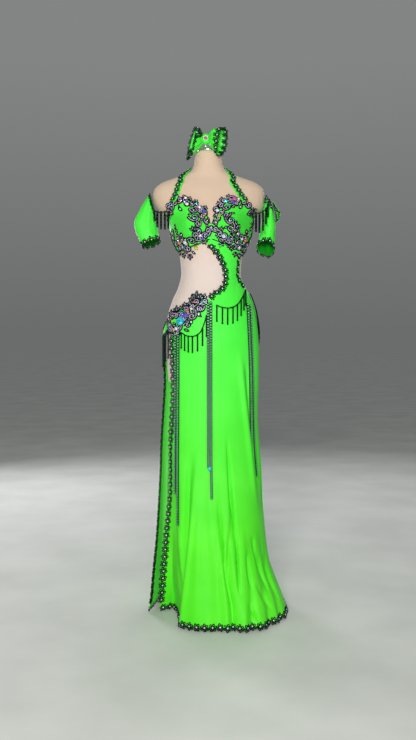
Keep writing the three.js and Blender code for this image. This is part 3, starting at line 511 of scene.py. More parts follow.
def capped_mesh(name, grid, turned=False):
    """A closed mesh from a grid whose first and last columns meet, with a fan over each end."""
    columns, rows = grid.shape[0] - 1, grid.shape[1]
    points = grid[:columns].reshape(-1, 3).tolist()
    faces = []
    for i in range(columns):
        a, b = i * rows, (i + 1) % columns * rows
        faces += [(a + j, b + j, b + j + 1, a + j + 1) for j in range(rows - 1)]
    for j, out in ((0, False), (rows - 1, True)):
        points.append(grid[:columns, j].mean(0).tolist())
        middle = len(points) - 1
        for i in range(columns):
            a, b = i * rows + j, (i + 1) % columns * rows + j
            faces.append((a, b, middle) if out else (b, a, middle))
    if turned:
        faces = [tuple(reversed(face)) for face in faces]
    mesh = bpy.data.meshes.new(name)
    mesh.from_pydata((np.array(points) * MM).tolist(), [], faces)
    return mesh


def closed_stack(name, grid, material, node):
    mesh = capped_mesh(name, grid)
    rings = grid[:-1]
    angles = np.arctan2(rings[..., 0], -rings[..., 1])
    spots = np.stack([angles * KNIT_RADIUS, rings[..., 2]], -1).reshape(-1, 2)
    spots = np.concatenate([spots, [[0, 0], [0, 0]]]) * MM
    corner = np.empty(len(mesh.loops), np.int32)
    mesh.loops.foreach_get("vertex_index", corner)
    layer = mesh.uv_layers.new(name="Cloth")
    layer.data.foreach_set("uv", spots[corner].ravel().astype(np.float32))
    return put_in_place(name, finished(mesh, [material], 70), [node])


closed_stack("form_torso", form_piece.points, JERSEY, "dress_form")


def lathe(name, profile, around, centre, node):
    profile = np.array(profile, float)
    turn = np.linspace(0, 2 * math.pi, around + 1)
    grid = np.stack([centre[0] + profile[None, :, 0] * np.sin(turn)[:, None],
                     centre[1] - profile[None, :, 0] * np.cos(turn)[:, None],
                     np.broadcast_to(profile[None, :, 1], (around + 1, len(profile)))], -1)
    closed_stack(name, grid, CHROME, node)


lathe("neck_cap_turned", [(34.5, 1556.4), (35.7, 1556.9), (36, 1558), (36, 1560), (35.2, 1561.2),
                          (31.5, 1563.4), (30, 1563.9), (12, 1564), (8, 1564.0)], 64, (-7, 0),
      "neck_cap")
lathe("stand_base_turned", [(120, 0), (123.6, 0.6), (124, 2), (124, 6.5), (123, 8), (116, 11), (90, 13.2),
                            (50, 15.8), (30, 16)], 96, (0, 0), "stand_base")
lathe("stand_pole_turned", [(15.4, 16.3), (16, 17), (16, 400), (16, 783.5), (15.4, 784.7)], 48, (0, 0),
      "stand_pole")

# %% [markdown]
# Edge tables: each cloth piece lies between a lower and an upper edge on the body, and each
# row of an edge is a share of its width, an angle round the body and a height.

# %% Edges of the body pieces
CUP_RIGHT_TOP = [[0, -92, 1328], [0.2, -66, 1340], [0.38, -46, 1364], [0.52, -34, 1379], [0.62, -26.5, 1384],
                 [0.71, -20, 1378], [0.8, -13.5, 1363], [0.87, -8.5, 1348], [0.93, -4, 1325],
                 [1, -0.22, 1298]]
CUP_RIGHT_FOOT = [[0, -92, 1262], [0.15, -80, 1243], [0.3, -66, 1221], [0.5, -46, 1223], [0.65, -31, 1234],
                  [0.8, -19, 1240], [0.91, -9.4, 1249.5], [1, -0.22, 1255.5]]
CUP_LEFT_TOP = [[0, 0.22, 1298], [0.07, 4, 1320], [0.15, 9, 1348], [0.23, 15, 1371], [0.32, 21.5, 1382],
                [0.42, 28.5, 1386], [0.52, 36, 1378], [0.66, 48, 1362], [0.82, 68, 1342], [1, 92, 1327]]
CUP_LEFT_FOOT = [[0, 0.22, 1255.5], [0.2, 14, 1246], [0.4, 30, 1238], [0.6, 47, 1233], [0.8, 68, 1236],
                 [1, 92, 1250]]
BAND_TOP = [[0, 92, 1327], [0.3, 140, 1296], [0.5, 180, 1288], [0.7, 220, 1296], [1, 268, 1328]]
BAND_FOOT = [[0, 92, 1250], [0.3, 140, 1246], [0.5, 180, 1244], [0.7, 220, 1246], [1, 268, 1262]]
WAIST_TOP = [[0, -9.4, 1248], [0.1, 0, 1254], [0.22, 14, 1244.6], [0.4, 30, 1236.6], [0.6, 47, 1231.6],
             [0.83, 68, 1234.4], [1, 84, 1242.6]]
WAIST_FOOT = [[0, -0.6, 1047], [0.1, 7, 1035], [0.22, 14, 1028], [0.34, 21, 1026], [0.46, 29, 1030],
              [0.58, 37, 1041], [0.72, 48, 1062], [0.86, 62, 1082], [1, 82, 1098]]
WAIST_RIGHT = [[0, -0.6, 1047], [0.1, 2, 1071], [0.2, 13, 1086], [0.3, 21, 1102], [0.42, 25.6, 1126],
               [0.54, 25.6, 1149], [0.66, 21.7, 1172], [0.78, 15, 1195], [0.88, 8, 1214], [0.95, 0, 1232],
               [1, -9.4, 1248]]
WAIST_LEFT = [[0, 82, 1098], [0.12, 71, 1118], [0.25, 64, 1138], [0.5, 63, 1177], [0.75, 64, 1214],
              [0.9, 73, 1233], [1, 84, 1242.6]]
HIP_RIGHT_TOP = [[0, -86, 958], [0.15, -72, 984], [0.35, -54, 1012], [0.52, -40, 1029], [0.7, -25, 1045],
                 [0.85, -13, 1054], [1, -1.6, 1062]]
HIP_RIGHT_FOOT = [[0, -86, 930], [0.2, -68, 944], [0.38, -53, 952], [0.5, -43, 953], [0.6, -34, 945],
                  [0.7, -26, 935], [0.78, -19, 934], [0.86, -11, 946], [0.91, -7, 972], [0.96, -4, 1007],
                  [1, -1.6, 1044]]
HIP_LEFT_TOP = [[0, 85, 1094], [0.4, 112, 1072], [0.7, 136, 1050], [1, 158, 1036]]
HIP_LEFT_FOOT = [[0, 85, 1080], [0.15, 90, 1035], [0.3, 97, 985], [0.48, 110, 956], [0.68, 128, 962],
                 [0.85, 144, 992], [1, 158, 1026]]

CLEAR = 2.2  # cloth to form
CLEAR_BUST = 3.6
OVER = 0.9  # skirt to the panels that lie on it
SEAM = 0.15  # degrees left between two pieces at a side seam
SKIRT_ENDS, PANEL_STARTS = 1112, 1140  # heights between which the panel comes in to the form


def on_bust(angle, height):
    return raised(on_form, angle, height, np.full(np.shape(angle), CLEAR_BUST))


def on_body(angle, height):
    near = raised(on_form, angle, height, np.full(np.shape(angle), CLEAR))
    over = raised(on_skirt, angle, height, np.full(np.shape(angle), OVER))
    share = smoothstep(SKIRT_ENDS, PANEL_STARTS, height)[..., None]
    return over + (near - over) * share


# %% [markdown]
# The cups are moulded and covered in the lycra, with a few soft pulls where the cloth is
# stretched to the centre. The band, the waist panel and the hip panels are cut flat and held
# in tension, so their creases are only shallow and run towards the seams.

# %% Cups, band and panels
PULL_TAPER = 0.8  # how softly a pull ends


def pulls(rows):
    """Soft ridges over a piece: u and v of both ends, depth and half width, in shares of the piece."""
    def relief(u, v):
        total = np.zeros_like(u)
        for u0, v0, u1, v1, depth, spread in rows:
            run = np.array([u1 - u0, v1 - v0])
            along = ((u - u0) * run[0] + (v - v0) * run[1]) / (run @ run)
            off = ((u - u0) * run[1] - (v - v0) * run[0]) / math.sqrt(run @ run)
            taper = np.sin(np.pi * np.clip(along, 0, 1)) ** PULL_TAPER
            total += depth * taper * np.exp(-((off / spread) ** 2))
        return total
    return relief


cup_pulls = [(0.9, 0.25, 0.45, 0.05, 0.5, 0.03), (0.95, 0.5, 0.6, 0.3, -0.4, 0.04),
             (0.2, 0.3, 0.5, 0.15, 0.45, 0.05), (0.85, 0.7, 0.6, 0.8, -0.35, 0.05)]
cup_right = body_piece(90, 56, CUP_RIGHT_FOOT, CUP_RIGHT_TOP, on_bust, relief=pulls(cup_pulls))
cup_left = body_piece(90, 56, CUP_LEFT_FOOT, CUP_LEFT_TOP, on_bust,
                      relief=pulls([(1 - a, b, 1 - c, d, e, f) for a, b, c, d, e, f in cup_pulls]))
back_band = body_piece(110, 24, [[s, a + SEAM * (1 - 2 * s), h] for s, a, h in BAND_FOOT],
                       [[s, a + SEAM * (1 - 2 * s), h] for s, a, h in BAND_TOP], on_bust,
                       relief=pulls([(0.05, 0.2, 0.4, 0.45, -0.5, 0.05), (0.3, 0.8, 0.72, 0.7, 0.5, 0.06),
                                     (0.95, 0.25, 0.55, 0.5, -0.5, 0.07)]))
waist_panel = body_piece(90, 110, WAIST_FOOT, WAIST_TOP, on_body, start=WAIST_RIGHT, end=WAIST_LEFT,
                         relief=pulls([(0.95, 0.3, 0.5, 0.08, -0.7, 0.05), (0.9, 0.42, 0.35, 0.3, -0.5, 0.05),
                                       (0.1, 0.62, 0.6, 0.5, 0.4, 0.06), (0.85, 0.6, 0.3, 0.85, -0.4, 0.06),
                                       (0.98, 0.16, 0.7, 0.05, 0.45, 0.05)]))
hip_right = body_piece(110, 36, HIP_RIGHT_FOOT, HIP_RIGHT_TOP, on_body,
                       relief=pulls([(0.1, 0.3, 0.5, 0.5, -0.45, 0.08), (0.6, 0.15, 0.8, 0.6, 0.45, 0.06)]))
hip_left = body_piece(90, 36, HIP_LEFT_FOOT, HIP_LEFT_TOP, on_body,
                      relief=pulls([(0.1, 0.7, 0.6, 0.4, -0.5, 0.08), (0.4, 0.1, 0.9, 0.5, 0.45, 0.08)]))

GREENS = [LYCRA, LYCRA_PAINTED_LIGHT_INSIDE]
for name, piece in (("cup_right", cup_right), ("cup_left", cup_left)):
    cloth_object(name + "_moulded", piece, [name], GREENS, thin=1.5)


def sheet_object(name, piece, node, materials=GREENS):
    obj = cloth_object(name, piece, [node], materials)
    width, length, area = piece.flat_size()
    return obj


sheet_object("back_band_cloth", back_band, "back_band")
sheet_object("waist_panel_cloth", waist_panel, "waist_panel")
sheet_object("hip_panel_right_cloth", hip_right, "hip_panel_right")
sheet_object("hip_panel_left_cloth", hip_left, "hip_panel_left")

# %% [markdown]
# The skirt falls smooth over the hips and breaks into folds near the floor. The hem table
# says where the hem lies and how high each fold starts; the cloth between leans out towards
# it. Finer creases are soft troughs of uneven length, depth and spacing.

# %% Tables of the skirt
# height, angle of the front slit edge, angle of the back slit edge
SLIT = [[0, -55, 263], [120, -55, 264], [250, -54, 265], [340, -51, 266], [430, -49, 267], [575, -50, 267],
        [716, -49.5, 266], [945, -54, 266], [1000, -57, 266]]
LEFT_SEAM = 88
# share of the width, x, y, height where the fold starts
HEM_FRONT = [
    [0, -178, -36, 640], [0.035, -155, -24, 560], [0.06, -136, -16, 500], [0.085, -129, -60, 480],
    [0.11, -127, -115, 470], [0.14, -122, -160, 470], [0.18, -106, -191, 460], [0.24, -74, -221, 430],
    [0.3, -40, -236, 420], [0.36, -4, -240, 420], [0.42, 28, -235, 480], [0.47, 55, -245, 420],
    [0.52, 72, -229, 540], [0.57, 90, -243, 420], [0.62, 112, -250, 330], [0.67, 131, -228, 280],
    [0.72, 156, -231, 300], [0.77, 181, -211, 350], [0.81, 188, -187, 320], [0.86, 222, -163, 300],
    [0.9, 228, -136, 300], [0.95, 251, -112, 330], [1, 255.2, -77, 340],
]
HEM_BACK = [
    [0, 255.4, -76.2, 340], [0.05, 264, -42, 340], [0.1, 250, -4, 380], [0.16, 263, 40, 380],
    [0.22, 236, 74, 420], [0.28, 236, 120, 420], [0.34, 194, 136, 460], [0.4, 176, 182, 460],
    [0.46, 127, 180, 520], [0.52, 96, 214, 480], [0.58, 48, 199, 540], [0.63, 14, 220, 480],
    [0.68, -27, 198, 540], [0.73, -62, 214, 460], [0.78, -97, 184, 480], [0.83, -134, 174, 420],
    [0.88, -157, 128, 460], [0.92, -182, 84, 420], [0.96, -194, 18, 420], [1, -211, -53, 560],
]
SKIRT_TOP_FRONT = [
    [-57, 968], [-43, 966], [-28, 952], [-20, 949], [-12, 957], [-8, 985], [-4, 1034], [0, 1059], [7, 1052],
    [14, 1044], [21, 1041], [29, 1044], [37, 1053], [48, 1074], [62, 1094], [75, 1103], [88, 1110],
]
SKIRT_TOP_BACK = [[88, 1110], [120, 1078], [150, 1052], [180, 1040], [210, 1030], [240, 1006], [267, 972]]
HEM_HEIGHT = 14
ROW_CROWDING = 1.15  # rows lie closer together near the hem
FOLD_CURVE = 1.3  # how late a fold swings out on its way down
CREASE_TAPER = 0.9

# Creases of the front: depth, half width, then the height and x of three points down the crease
CREASES_FRONT = [
    (15.0, 5.5, (600, 54), (427, 65), (240, 84)),
    (12.0, 5.5, (400, 24), (184, 47), (50, 74)),
    (14.0, 5, (290, 84), (200, 87), (110, 92)),
    (10.0, 5, (235, 116), (180, 122), (120, 132)),
    (14.0, 5.5, (285, 134), (193, 157), (100, 188)),
    (7.0, 6, (140, 146), (90, 172), (45, 198)),
    (7.0, 6, (85, 120), (55, 136), (22, 164)),
    (9.0, 6, (272, 166), (164, 183), (60, 226)),
    (32.0, 13, (560, -62), (155, -101), (-250, -150)),
    (-8.0, 10, (560, -44), (155, -82), (-250, -130)),
    (10.0, 4.5, (420, -114), (85, -117), (-250, -122)),
    (-9.0, 10, (900, 94), (640, 122), (380, 152)),
    (18.0, 10, (860, 115), (600, 142), (330, 177)),
    (2.4, 12, (520, -10), (320, 0), (140, 14)),
    (-4.0, 14, (420, -36), (220, -44), (20, -54)),
    (-4.0, 10, (420, 50), (260, 64), (60, 96)),
    (-3.6, 9, (330, 100), (210, 108), (40, 126)),
]
# Creases of the back, with the angle round the body in place of x
CREASES_BACK = [
    (3.4, 2.6, (620, 112), (430, 116), (250, 121)),
    (2.8, 2.0, (420, 134), (300, 137), (140, 141)),
    (4.2, 3.0, (700, 155), (480, 160), (260, 164)),
    (2.6, 2.2, (360, 176), (240, 178), (90, 183)),
    (3.8, 2.8, (640, 196), (450, 200), (230, 206)),
    (3.0, 2.2, (440, 220), (300, 222), (150, 226)),
    (3.6, 2.6, (560, 240), (380, 242), (190, 246)),
    (-2.2, 4.0, (860, 170), (700, 178), (540, 186)),
    (-2.4, 4.0, (820, 128), (690, 122), (540, 117)),
    (-2.0, 4.0, (880, 226), (720, 220), (560, 214)),
]


# %% Skirt front and back
def crease_depth(rows, across, height):
    total = np.zeros_like(height)
    for depth, spread, *points in rows:
        top, foot = points[0][0], points[-1][0]
        line = fit([list(p) for p in sorted(points)], height)[..., 0]
        share = np.clip((top - height) / (top - foot), 0, 1)
        taper = np.sin(np.pi * share) ** CREASE_TAPER
        total += depth * taper * np.exp(-(((across - line) / spread) ** 2))
    return total


def skirt_panel(across, along, hem, top, angles, creases, by_angle):
    def place(u, v):
        x, y, start = np.moveaxis(fit(hem, u), -1, 0)
        highest = fit(top, angles(u, np.full_like(u, 1000)))[..., 0]
        height = HEM_HEIGHT + (highest - HEM_HEIGHT) * v ** ROW_CROWDING
        angle = angles(u, height)
        points = raised(on_skirt, angle, height, np.full_like(u, -WALL))
        plain = on_skirt(angles(u, np.zeros_like(u)), np.zeros_like(u))
        fall = np.maximum(0, (start - height) / start) ** FOLD_CURVE
        points[..., 0] += (x - plain[..., 0]) * fall
        points[..., 1] += (y - plain[..., 1]) * fall
        side = np.gradient(points, axis=0)
        out = unit(np.cross(side, np.gradient(points, axis=1)))
        depth = crease_depth(creases, angle if by_angle else points[..., 0], height)
        return points - out * depth[..., None]
    return Cloth(across, along, place)


def front_angles(share, height):
    front = fit(SLIT, height)[..., 0]
    return front + (LEFT_SEAM - SEAM - front) * share


def back_angles(share, height):
    back = fit(SLIT, height)[..., 1]
    return LEFT_SEAM + SEAM + (back - LEFT_SEAM - SEAM) * share


skirt_front = skirt_panel(230, 150, HEM_FRONT, SKIRT_TOP_FRONT, front_angles, CREASES_FRONT, False)
skirt_back = skirt_panel(230, 130, HEM_BACK, SKIRT_TOP_BACK, back_angles, CREASES_BACK, True)
sheet_object("skirt_front_cloth", skirt_front, "skirt_front")
sheet_object("skirt_back_cloth", skirt_back, "skirt_back")

# %% [markdown]
# The halter strap is a narrow folded strip of the same lycra. It leaves the top of each cup,
# climbs over the shoulder and meets itself behind the neck.

# %% Halter strap
# share of the length, angle, height
STRAP = [
    [0, -39, 1378], [0.07, -36, 1394], [0.14, -33, 1420], [0.21, -33, 1445], [0.28, -50, 1470],
    [0.35, -84, 1491],
    [0.42, -130, 1503], [0.5, -180, 1508], [0.58, -230, 1503], [0.65, -276, 1491], [0.72, -317, 1470],
    [0.79, -333, 1443], [0.86, -330, 1419], [0.93, -325, 1394], [1, -321, 1378],
]
STRAP_WIDTH = 20
STRAP_LIFT, STRAP_BULGE = 2.6, 0.9
STRAP_RISE = 8.6  # at its ends the strap climbs onto the cups


def strap_place(u, v):
    spot = fit(STRAP, u)
    ahead, behind = fit(STRAP, u + 0.01), fit(STRAP, u - 0.01)
    along = unit(on_form(ahead[..., 0], ahead[..., 1]) - on_form(behind[..., 0], behind[..., 1]))
    out = out_of(on_form, spot[..., 0], spot[..., 1])
    side = unit(np.cross(out, along))
    bulge = 1 - (2 * v - 1) ** 2
    lift = STRAP_LIFT + STRAP_BULGE * bulge + STRAP_RISE * np.maximum(0, 1 - 8 * np.minimum(u, 1 - u))
    off_middle = STRAP_WIDTH * (v - 0.5)
    return on_form(spot[..., 0], spot[..., 1]) + side * off_middle[..., None] + out * lift[..., None]


strap = Cloth(220, 10, strap_place)
sheet_object("halter_strap_cloth", strap, "halter_strap")

# %% [markdown]
# Each sleeve is a soft tube with an elastic rim. Gathers start at the rim and fade down the
# tube, and one long diagonal pull twists it a little. The bow's loops are tubes too, squeezed
# at the knot, so their pleats fan out from it.

# %% Sleeves, ruffle and bow
# share of the length, centre x y z, then the two half axes of the ring
SLEEVE_RIGHT = [
    [0, -195, -2, 1372, -9, 0, 44, 2, 26, 0], [0.3, -207, -4, 1334, -29, 0, 31, 2, 34, 2],
    [0.6, -217, -6, 1298, -41, 0, 15, 0, 38, 3], [0.8, -210, -8, 1274, -36, 0, -2, 0, 37, 4],
    [1, -201, -10, 1251, -30, 0, -10, 0, 34, -6],
]
SLEEVE_LEFT = [
    [0, 196, -2, 1392, 9, 0, -17, 0, 28, 2], [0.3, 195, -5, 1352, 18, 0, -8, 0, 32, 2],
    [0.6, 195, -9, 1308, 25, 0, -2, 0, 33, -4], [0.8, 191, -12, 1272, 27, 0, -3, 0, 29, -14],
    [1, 186, -16, 1234, 29, 0, -4, 0, 18, -25],
]
RUFFLE = [[0, 208, -22, 1388, 212.4, 8, 1379], [0.35, 223, -30, 1366, 221, 6, 1352],
          [0.7, 234, -26, 1343, 222.4, 4, 1330], [1, 230, -16, 1327, 220.4, 2, 1318]]
BOW_RIGHT = [[0, -27, -40, 1590, 0, 0, 17, 0, 10, 0], [0.35, -38, -41, 1588, 3, 0, 33, 0, 20, 0],
             [0.7, -50, -42, 1582, 9, 0, 43, 0, 25, 0], [1, -60, -43, 1576, 13, 0, 50, -7, 22, 0]]
BOW_LEFT = [[0, -4.7, -40, 1590, 0, 0, -17, 0, 10, 0], [0.35, 6, -46.4, 1589, -1, 0, -32, 2, 20, 0],
            [0.7, 20, -50, 1585, -4, 0, -41, 8, 22, 0], [1, 34, -50, 1581, -7, 0, -46, 16, 20, 0]]


def tube(around, along, rows, folds, twist=0.0, turned=False):
    """folds: number round the tube, depth at the start, depth at the end, phase."""
    def place(u, v):
        values = fit(rows, v)
        turn = u * math.pi * 2
        wave = sum((first + (last - first) * v) * (np.cos(number * (turn + twist * v) + phase) - 1) / 2
                   for number, first, last, phase in folds)
        middle, a, b = values[..., :3], values[..., 3:6], values[..., 6:9]
        size = (np.linalg.norm(a, axis=-1) + np.linalg.norm(b, axis=-1)) / 2
        scale = (1 + wave / size)[..., None]
        return middle + (a * np.cos(turn)[..., None] + b * np.sin(turn)[..., None]) * scale
    return Cloth(around, along, place, ring=True, turned=turned)


sleeve_right = tube(120, 60, SLEEVE_RIGHT, [(9, 2.2, 0.2, 0.3), (5, 1.4, 1.6, 1.4), (3, 0.0, 2.0, 0.2)], 0.7)
sleeve_left = tube(120, 60, SLEEVE_LEFT, [(8, 2.4, 0.4, 0.0), (5, 1.6, 2.0, 2.2), (3, 1.0, 2.4, 1.0)], 0.9,
                   turned=True)
bow_right = tube(96, 40, BOW_RIGHT, [(9, 3.0, 0.6, 0.4), (4, 1.2, 2.8, 1.0)])
bow_left = tube(96, 40, BOW_LEFT, [(8, 3.0, 0.6, 1.2), (4, 1.2, 2.8, 2.4)])


RUFFLE_DEPTH, RUFFLE_WAVES = 1.6, 14


def ruffle_place(u, v):
    values = fit(RUFFLE, v)
    near, far = values[..., :3], values[..., 3:6]
    points = near + (far - near) * u[..., None]
    points[..., 0] += RUFFLE_DEPTH * np.sin(v * RUFFLE_WAVES) * (1 - u)
    return points


ruffle = Cloth(24, 40, ruffle_place)
# The sleeves carry the painted shade on their inner faces.
SHADED_INSIDE = [LYCRA, SLEEVE_PAINTED_SHADE_LYCRA]
DOUBLED = [LYCRA, LYCRA]
sheet_object("sleeve_right_cloth", sleeve_right, "sleeve_right", SHADED_INSIDE)
sheet_object("sleeve_left_cloth", sleeve_left, "sleeve_left", SHADED_INSIDE)
sheet_object("sleeve_ruffle_cloth", ruffle, "sleeve_ruffle_left")
sheet_object("bow_loop_right_cloth", bow_right, "bow_loop_right", DOUBLED)
sheet_object("bow_loop_left_cloth", bow_left, "bow_loop_left", DOUBLED)

# %% [markdown]
# Beads, stones and lace flowers repeat hundreds of times. One node tree sets a small piece on
# every point of a cloud: each point says which way is out, which way is along and how large.
# A second tree lays lace flowers in a straight row by the metre, and the row is then bent
# along the edge of its cloth, as a trimmer would pin it.

# %% A tree that sets small pieces on points
FLOWER_TURN = 0.61  # radians by which each flower is turned from the one before


def tree_inputs(tree, sockets):
    for name, kind in sockets:
        tree.interface.new_socket(name=name, in_out="INPUT", socket_type="NodeSocket" + kind)
    tree.interface.new_socket(name="Geometry", in_out="OUTPUT", socket_type="NodeSocketGeometry")
    return add_node(tree, "NodeGroupInput").outputs


def pieces_at(tree, given, points, rotation, scale):
    """The last nodes of a tree: a real piece with its finish on every point."""
    piece = add_node(tree, "GeometryNodeObjectInfo", {"Object": given["Piece"]})
    placed = add_node(tree, "GeometryNodeInstanceOnPoints", {
        "Points": points, "Instance": piece.outputs["Geometry"], "Rotation": rotation, "Scale": scale})
    real = add_node(tree, "GeometryNodeRealizeInstances", {"Geometry": placed.outputs[0]})
    finish = add_node(tree, "GeometryNodeSetMaterial",
                      {"Geometry": real.outputs[0], "Material": given["Finish"]})
    add_node(tree, "NodeGroupOutput", {"Geometry": finish.outputs[0]})
    return tree


def chance(tree, given, least, most):
    return add_node(tree, "FunctionNodeRandomValue", {2: least, 3: most, "Seed": given["Seed"]},
                    data_type="FLOAT").outputs[1]


def setting_tree():
    tree = bpy.data.node_groups.new("pieces_on_points", "GeometryNodeTree")
    given = tree_inputs(tree, [("Points", "Geometry"), ("Piece", "Object"), ("Size", "Float"),
                               ("Size variation", "Float"), ("Turn variation", "Float"), ("Seed", "Int"),
                               ("Finish", "Material")])
    facing, along, size = (
        add_node(tree, "GeometryNodeInputNamedAttribute", {"Name": name}, data_type=kind).outputs[0]
        for name, kind in (("facing", "FLOAT_VECTOR"), ("along", "FLOAT_VECTOR"), ("size", "FLOAT")))
    out = add_node(tree, "FunctionNodeAlignRotationToVector", {"Vector": facing}, axis="Z")
    turned = add_node(tree, "FunctionNodeAlignRotationToVector",
                      {"Rotation": out.outputs[0], "Vector": along}, axis="Y", pivot_axis="Z")
    least_turn = math_node(tree, "MULTIPLY", given["Turn variation"], -1.0)
    turn = chance(tree, given, least_turn, given["Turn variation"])
    spin = add_node(tree, "ShaderNodeCombineXYZ", {"Z": turn})
    spun = add_node(tree, "FunctionNodeEulerToRotation", {0: spin.outputs[0]})
    rotation = add_node(tree, "FunctionNodeRotateRotation",
                        {"Rotation": turned.outputs[0], "Rotate By": spun.outputs[0]}, rotation_space="LOCAL")
    share = chance(tree, given, math_node(tree, "SUBTRACT", 1.0, given["Size variation"]), 1.0)
    scale = math_node(tree, "MULTIPLY", math_node(tree, "MULTIPLY", size, share), given["Size"])
    return pieces_at(tree, given, given["Points"], rotation.outputs[0], scale)


def lace_tree():
    tree = bpy.data.node_groups.new("lace_by_the_metre", "GeometryNodeTree")
    given = tree_inputs(tree, [("Count", "Int"), ("Pitch", "Float"), ("Size", "Float"), ("Piece", "Object"),
                               ("Finish", "Material")])
    first = add_node(tree, "ShaderNodeCombineXYZ", {"X": math_node(tree, "MULTIPLY", given["Pitch"], 0.5)})
    step = add_node(tree, "ShaderNodeCombineXYZ", {"X": given["Pitch"]})
    line = add_node(tree, "GeometryNodeMeshLine",
                    {"Count": given["Count"], "Start Location": first.outputs[0], "Offset": step.outputs[0]},
                    mode="OFFSET")
    index = add_node(tree, "GeometryNodeInputIndex").outputs[0]
    spin = add_node(tree, "ShaderNodeCombineXYZ", {"Z": math_node(tree, "MULTIPLY", index, FLOWER_TURN)})
    return pieces_at(tree, given, line.outputs[0], spin.outputs[0], given["Size"])


SETTING_TREE = setting_tree()
LACE_TREE = lace_tree()


def grown(name, mesh, tree, values):
    """The plain mesh that a node tree makes from a mesh."""
    source = new_object(name, mesh)
    modifier = source.modifiers.new("nodes", "NODES")
    modifier.node_group = tree
    sockets = {item.name: item.identifier for item in tree.interface.items_tree if item.in_out == "INPUT"}
    for key, value in values.items():
        modifier[sockets[key]] = value
    depsgraph = bpy.context.evaluated_depsgraph_get()
    result = bpy.data.meshes.new_from_object(source.evaluated_get(depsgraph))
    bpy.data.objects.remove(source)
    return result


# %% Small pieces that repeat
def template(name, points, faces, smooth=False):
    mesh = bpy.data.meshes.new(name)
    mesh.from_pydata(points, [], faces)
    if smooth:
        mesh.shade_smooth()
    return new_object(name, mesh)


def stacked(rings, sides, phase=0.0):
    """A closed piece of rings about Z: radius and height of each."""
    points, faces = [], []
    for radius, height in rings:
        for k in range(sides):
            turn = 2 * math.pi * k / sides + phase
            points.append((radius * math.cos(turn), radius * math.sin(turn), height))
    for r in range(len(rings) - 1):
        for k in range(sides):
            a, b = r * sides + k, r * sides + (k + 1) % sides
            faces.append((a, b, b + sides, a + sides))
    faces.append(tuple(reversed(range(sides))))
    faces.append(tuple(range((len(rings) - 1) * sides, len(rings) * sides)))
    return points, faces


STONE = template("cut_stone", *stacked([(0.8, -0.1), (1.0, 0.12), (0.52, 0.62)], 6))
BIG_STONE = template("large_cut_stone", *stacked([(0.9, -0.1), (1.0, 0.1), (0.78, 0.42), (0.42, 0.6)], 12))
ROUND_BEAD = template("round_bead", *stacked([(0.45, -0.9), (0.95, -0.42), (0.95, 0.42), (0.45, 0.9)], 6),
                      smooth=True)
CUP_LINK = template("cup_link", *stacked([(1.0, 0.0), (1.0, 0.42), (0.74, 0.62)], 8, math.pi / 8))
tube_points, tube_faces = stacked([(0.82, -1.0), (1.0, -0.93), (1.0, 0.93), (0.82, 1.0)], 6)
BUGLE_LENGTH = 2.6  # half the length of a tube bead over its radius
BUGLE_BEAD = template("bugle_bead", [(x, z * BUGLE_LENGTH, -y) for x, y, z in tube_points], tube_faces,
                      smooth=True)


def cloud(name, places, facing, along, sizes):
    mesh = bpy.data.meshes.new(name)
    mesh.from_pydata((np.asarray(places) * MM).tolist(), [], [])
    for key, values in (("facing", facing), ("along", along)):
        attribute = mesh.attributes.new(key, "FLOAT_VECTOR", "POINT")
        attribute.data.foreach_set("vector", np.asarray(values, np.float32).ravel())
    attribute = mesh.attributes.new("size", "FLOAT", "POINT")
    attribute.data.foreach_set("value", np.asarray(sizes, np.float32).ravel())
    return mesh


def set_pieces(name, small, rows, material, seed=1, size_variation=0.0, turn_variation=0.0):
    """rows: place, facing, along and size in millimetres of each small piece."""
    places, facing, along, sizes = (np.array(column, float) for column in zip(*rows))
    return grown(name, cloud(name, places, facing, along, sizes), SETTING_TREE, {
        "Piece": small, "Size": MM, "Size variation": size_variation, "Turn variation": turn_variation,
        "Seed": seed, "Finish": material})


def spots_of(mesh):
    spots = np.empty(len(mesh.vertices) * 3)
    mesh.vertices.foreach_get("co", spots)
    return spots.reshape(-1, 3)


def joined(name, meshes, node, smooth_angle=None):
    """One piece from several meshes, each with its own material."""
    points, faces, kinds, materials, smooth = [], [], [], [], []
    for mesh in meshes:
        for material in mesh.materials:
            if material not in materials:
                materials.append(material)
        start = len(points)
        points += spots_of(mesh).tolist()
        for polygon in mesh.polygons:
            faces.append([start + k for k in polygon.vertices])
            kinds.append(materials.index(mesh.materials[polygon.material_index]))
            smooth.append(polygon.use_smooth)
    result = bpy.data.meshes.new(name)
    result.from_pydata(points, [], faces)
    for material in materials:
        result.materials.append(material)
    result.polygons.foreach_set("material_index", kinds)
    result.polygons.foreach_set("use_smooth", smooth)
    if smooth_angle:
        result.set_sharp_from_angle(angle=math.radians(smooth_angle))
    put_in_place(name, result, [node])
    print(name, len(faces), "faces")


def bead_piece(name, beads, chains):
    meshes = [set_pieces(name + "_tubes", BUGLE_BEAD, beads, BUGLE),
              set_pieces(name + "_rounds", ROUND_BEAD, chains, BUGLE)]
    joined(name + "_beads", meshes, name, 40)


# %% [markdown]
# A lace flower has six looped petals round a raised centre with a rhinestone. The loops are
# thick thread, so their holes show the green below.

# %% Lace flower
PETALS, PETAL_HEIGHT = 6, 1.3
PETAL_REACH, PETAL_OUTER, PETAL_HOLE = 7.7, 4.7, 1.5  # from the flower's middle, then two radii
PETAL_SIDES = 9
PETAL_FLATNESS = 0.86  # width of a petal over its length


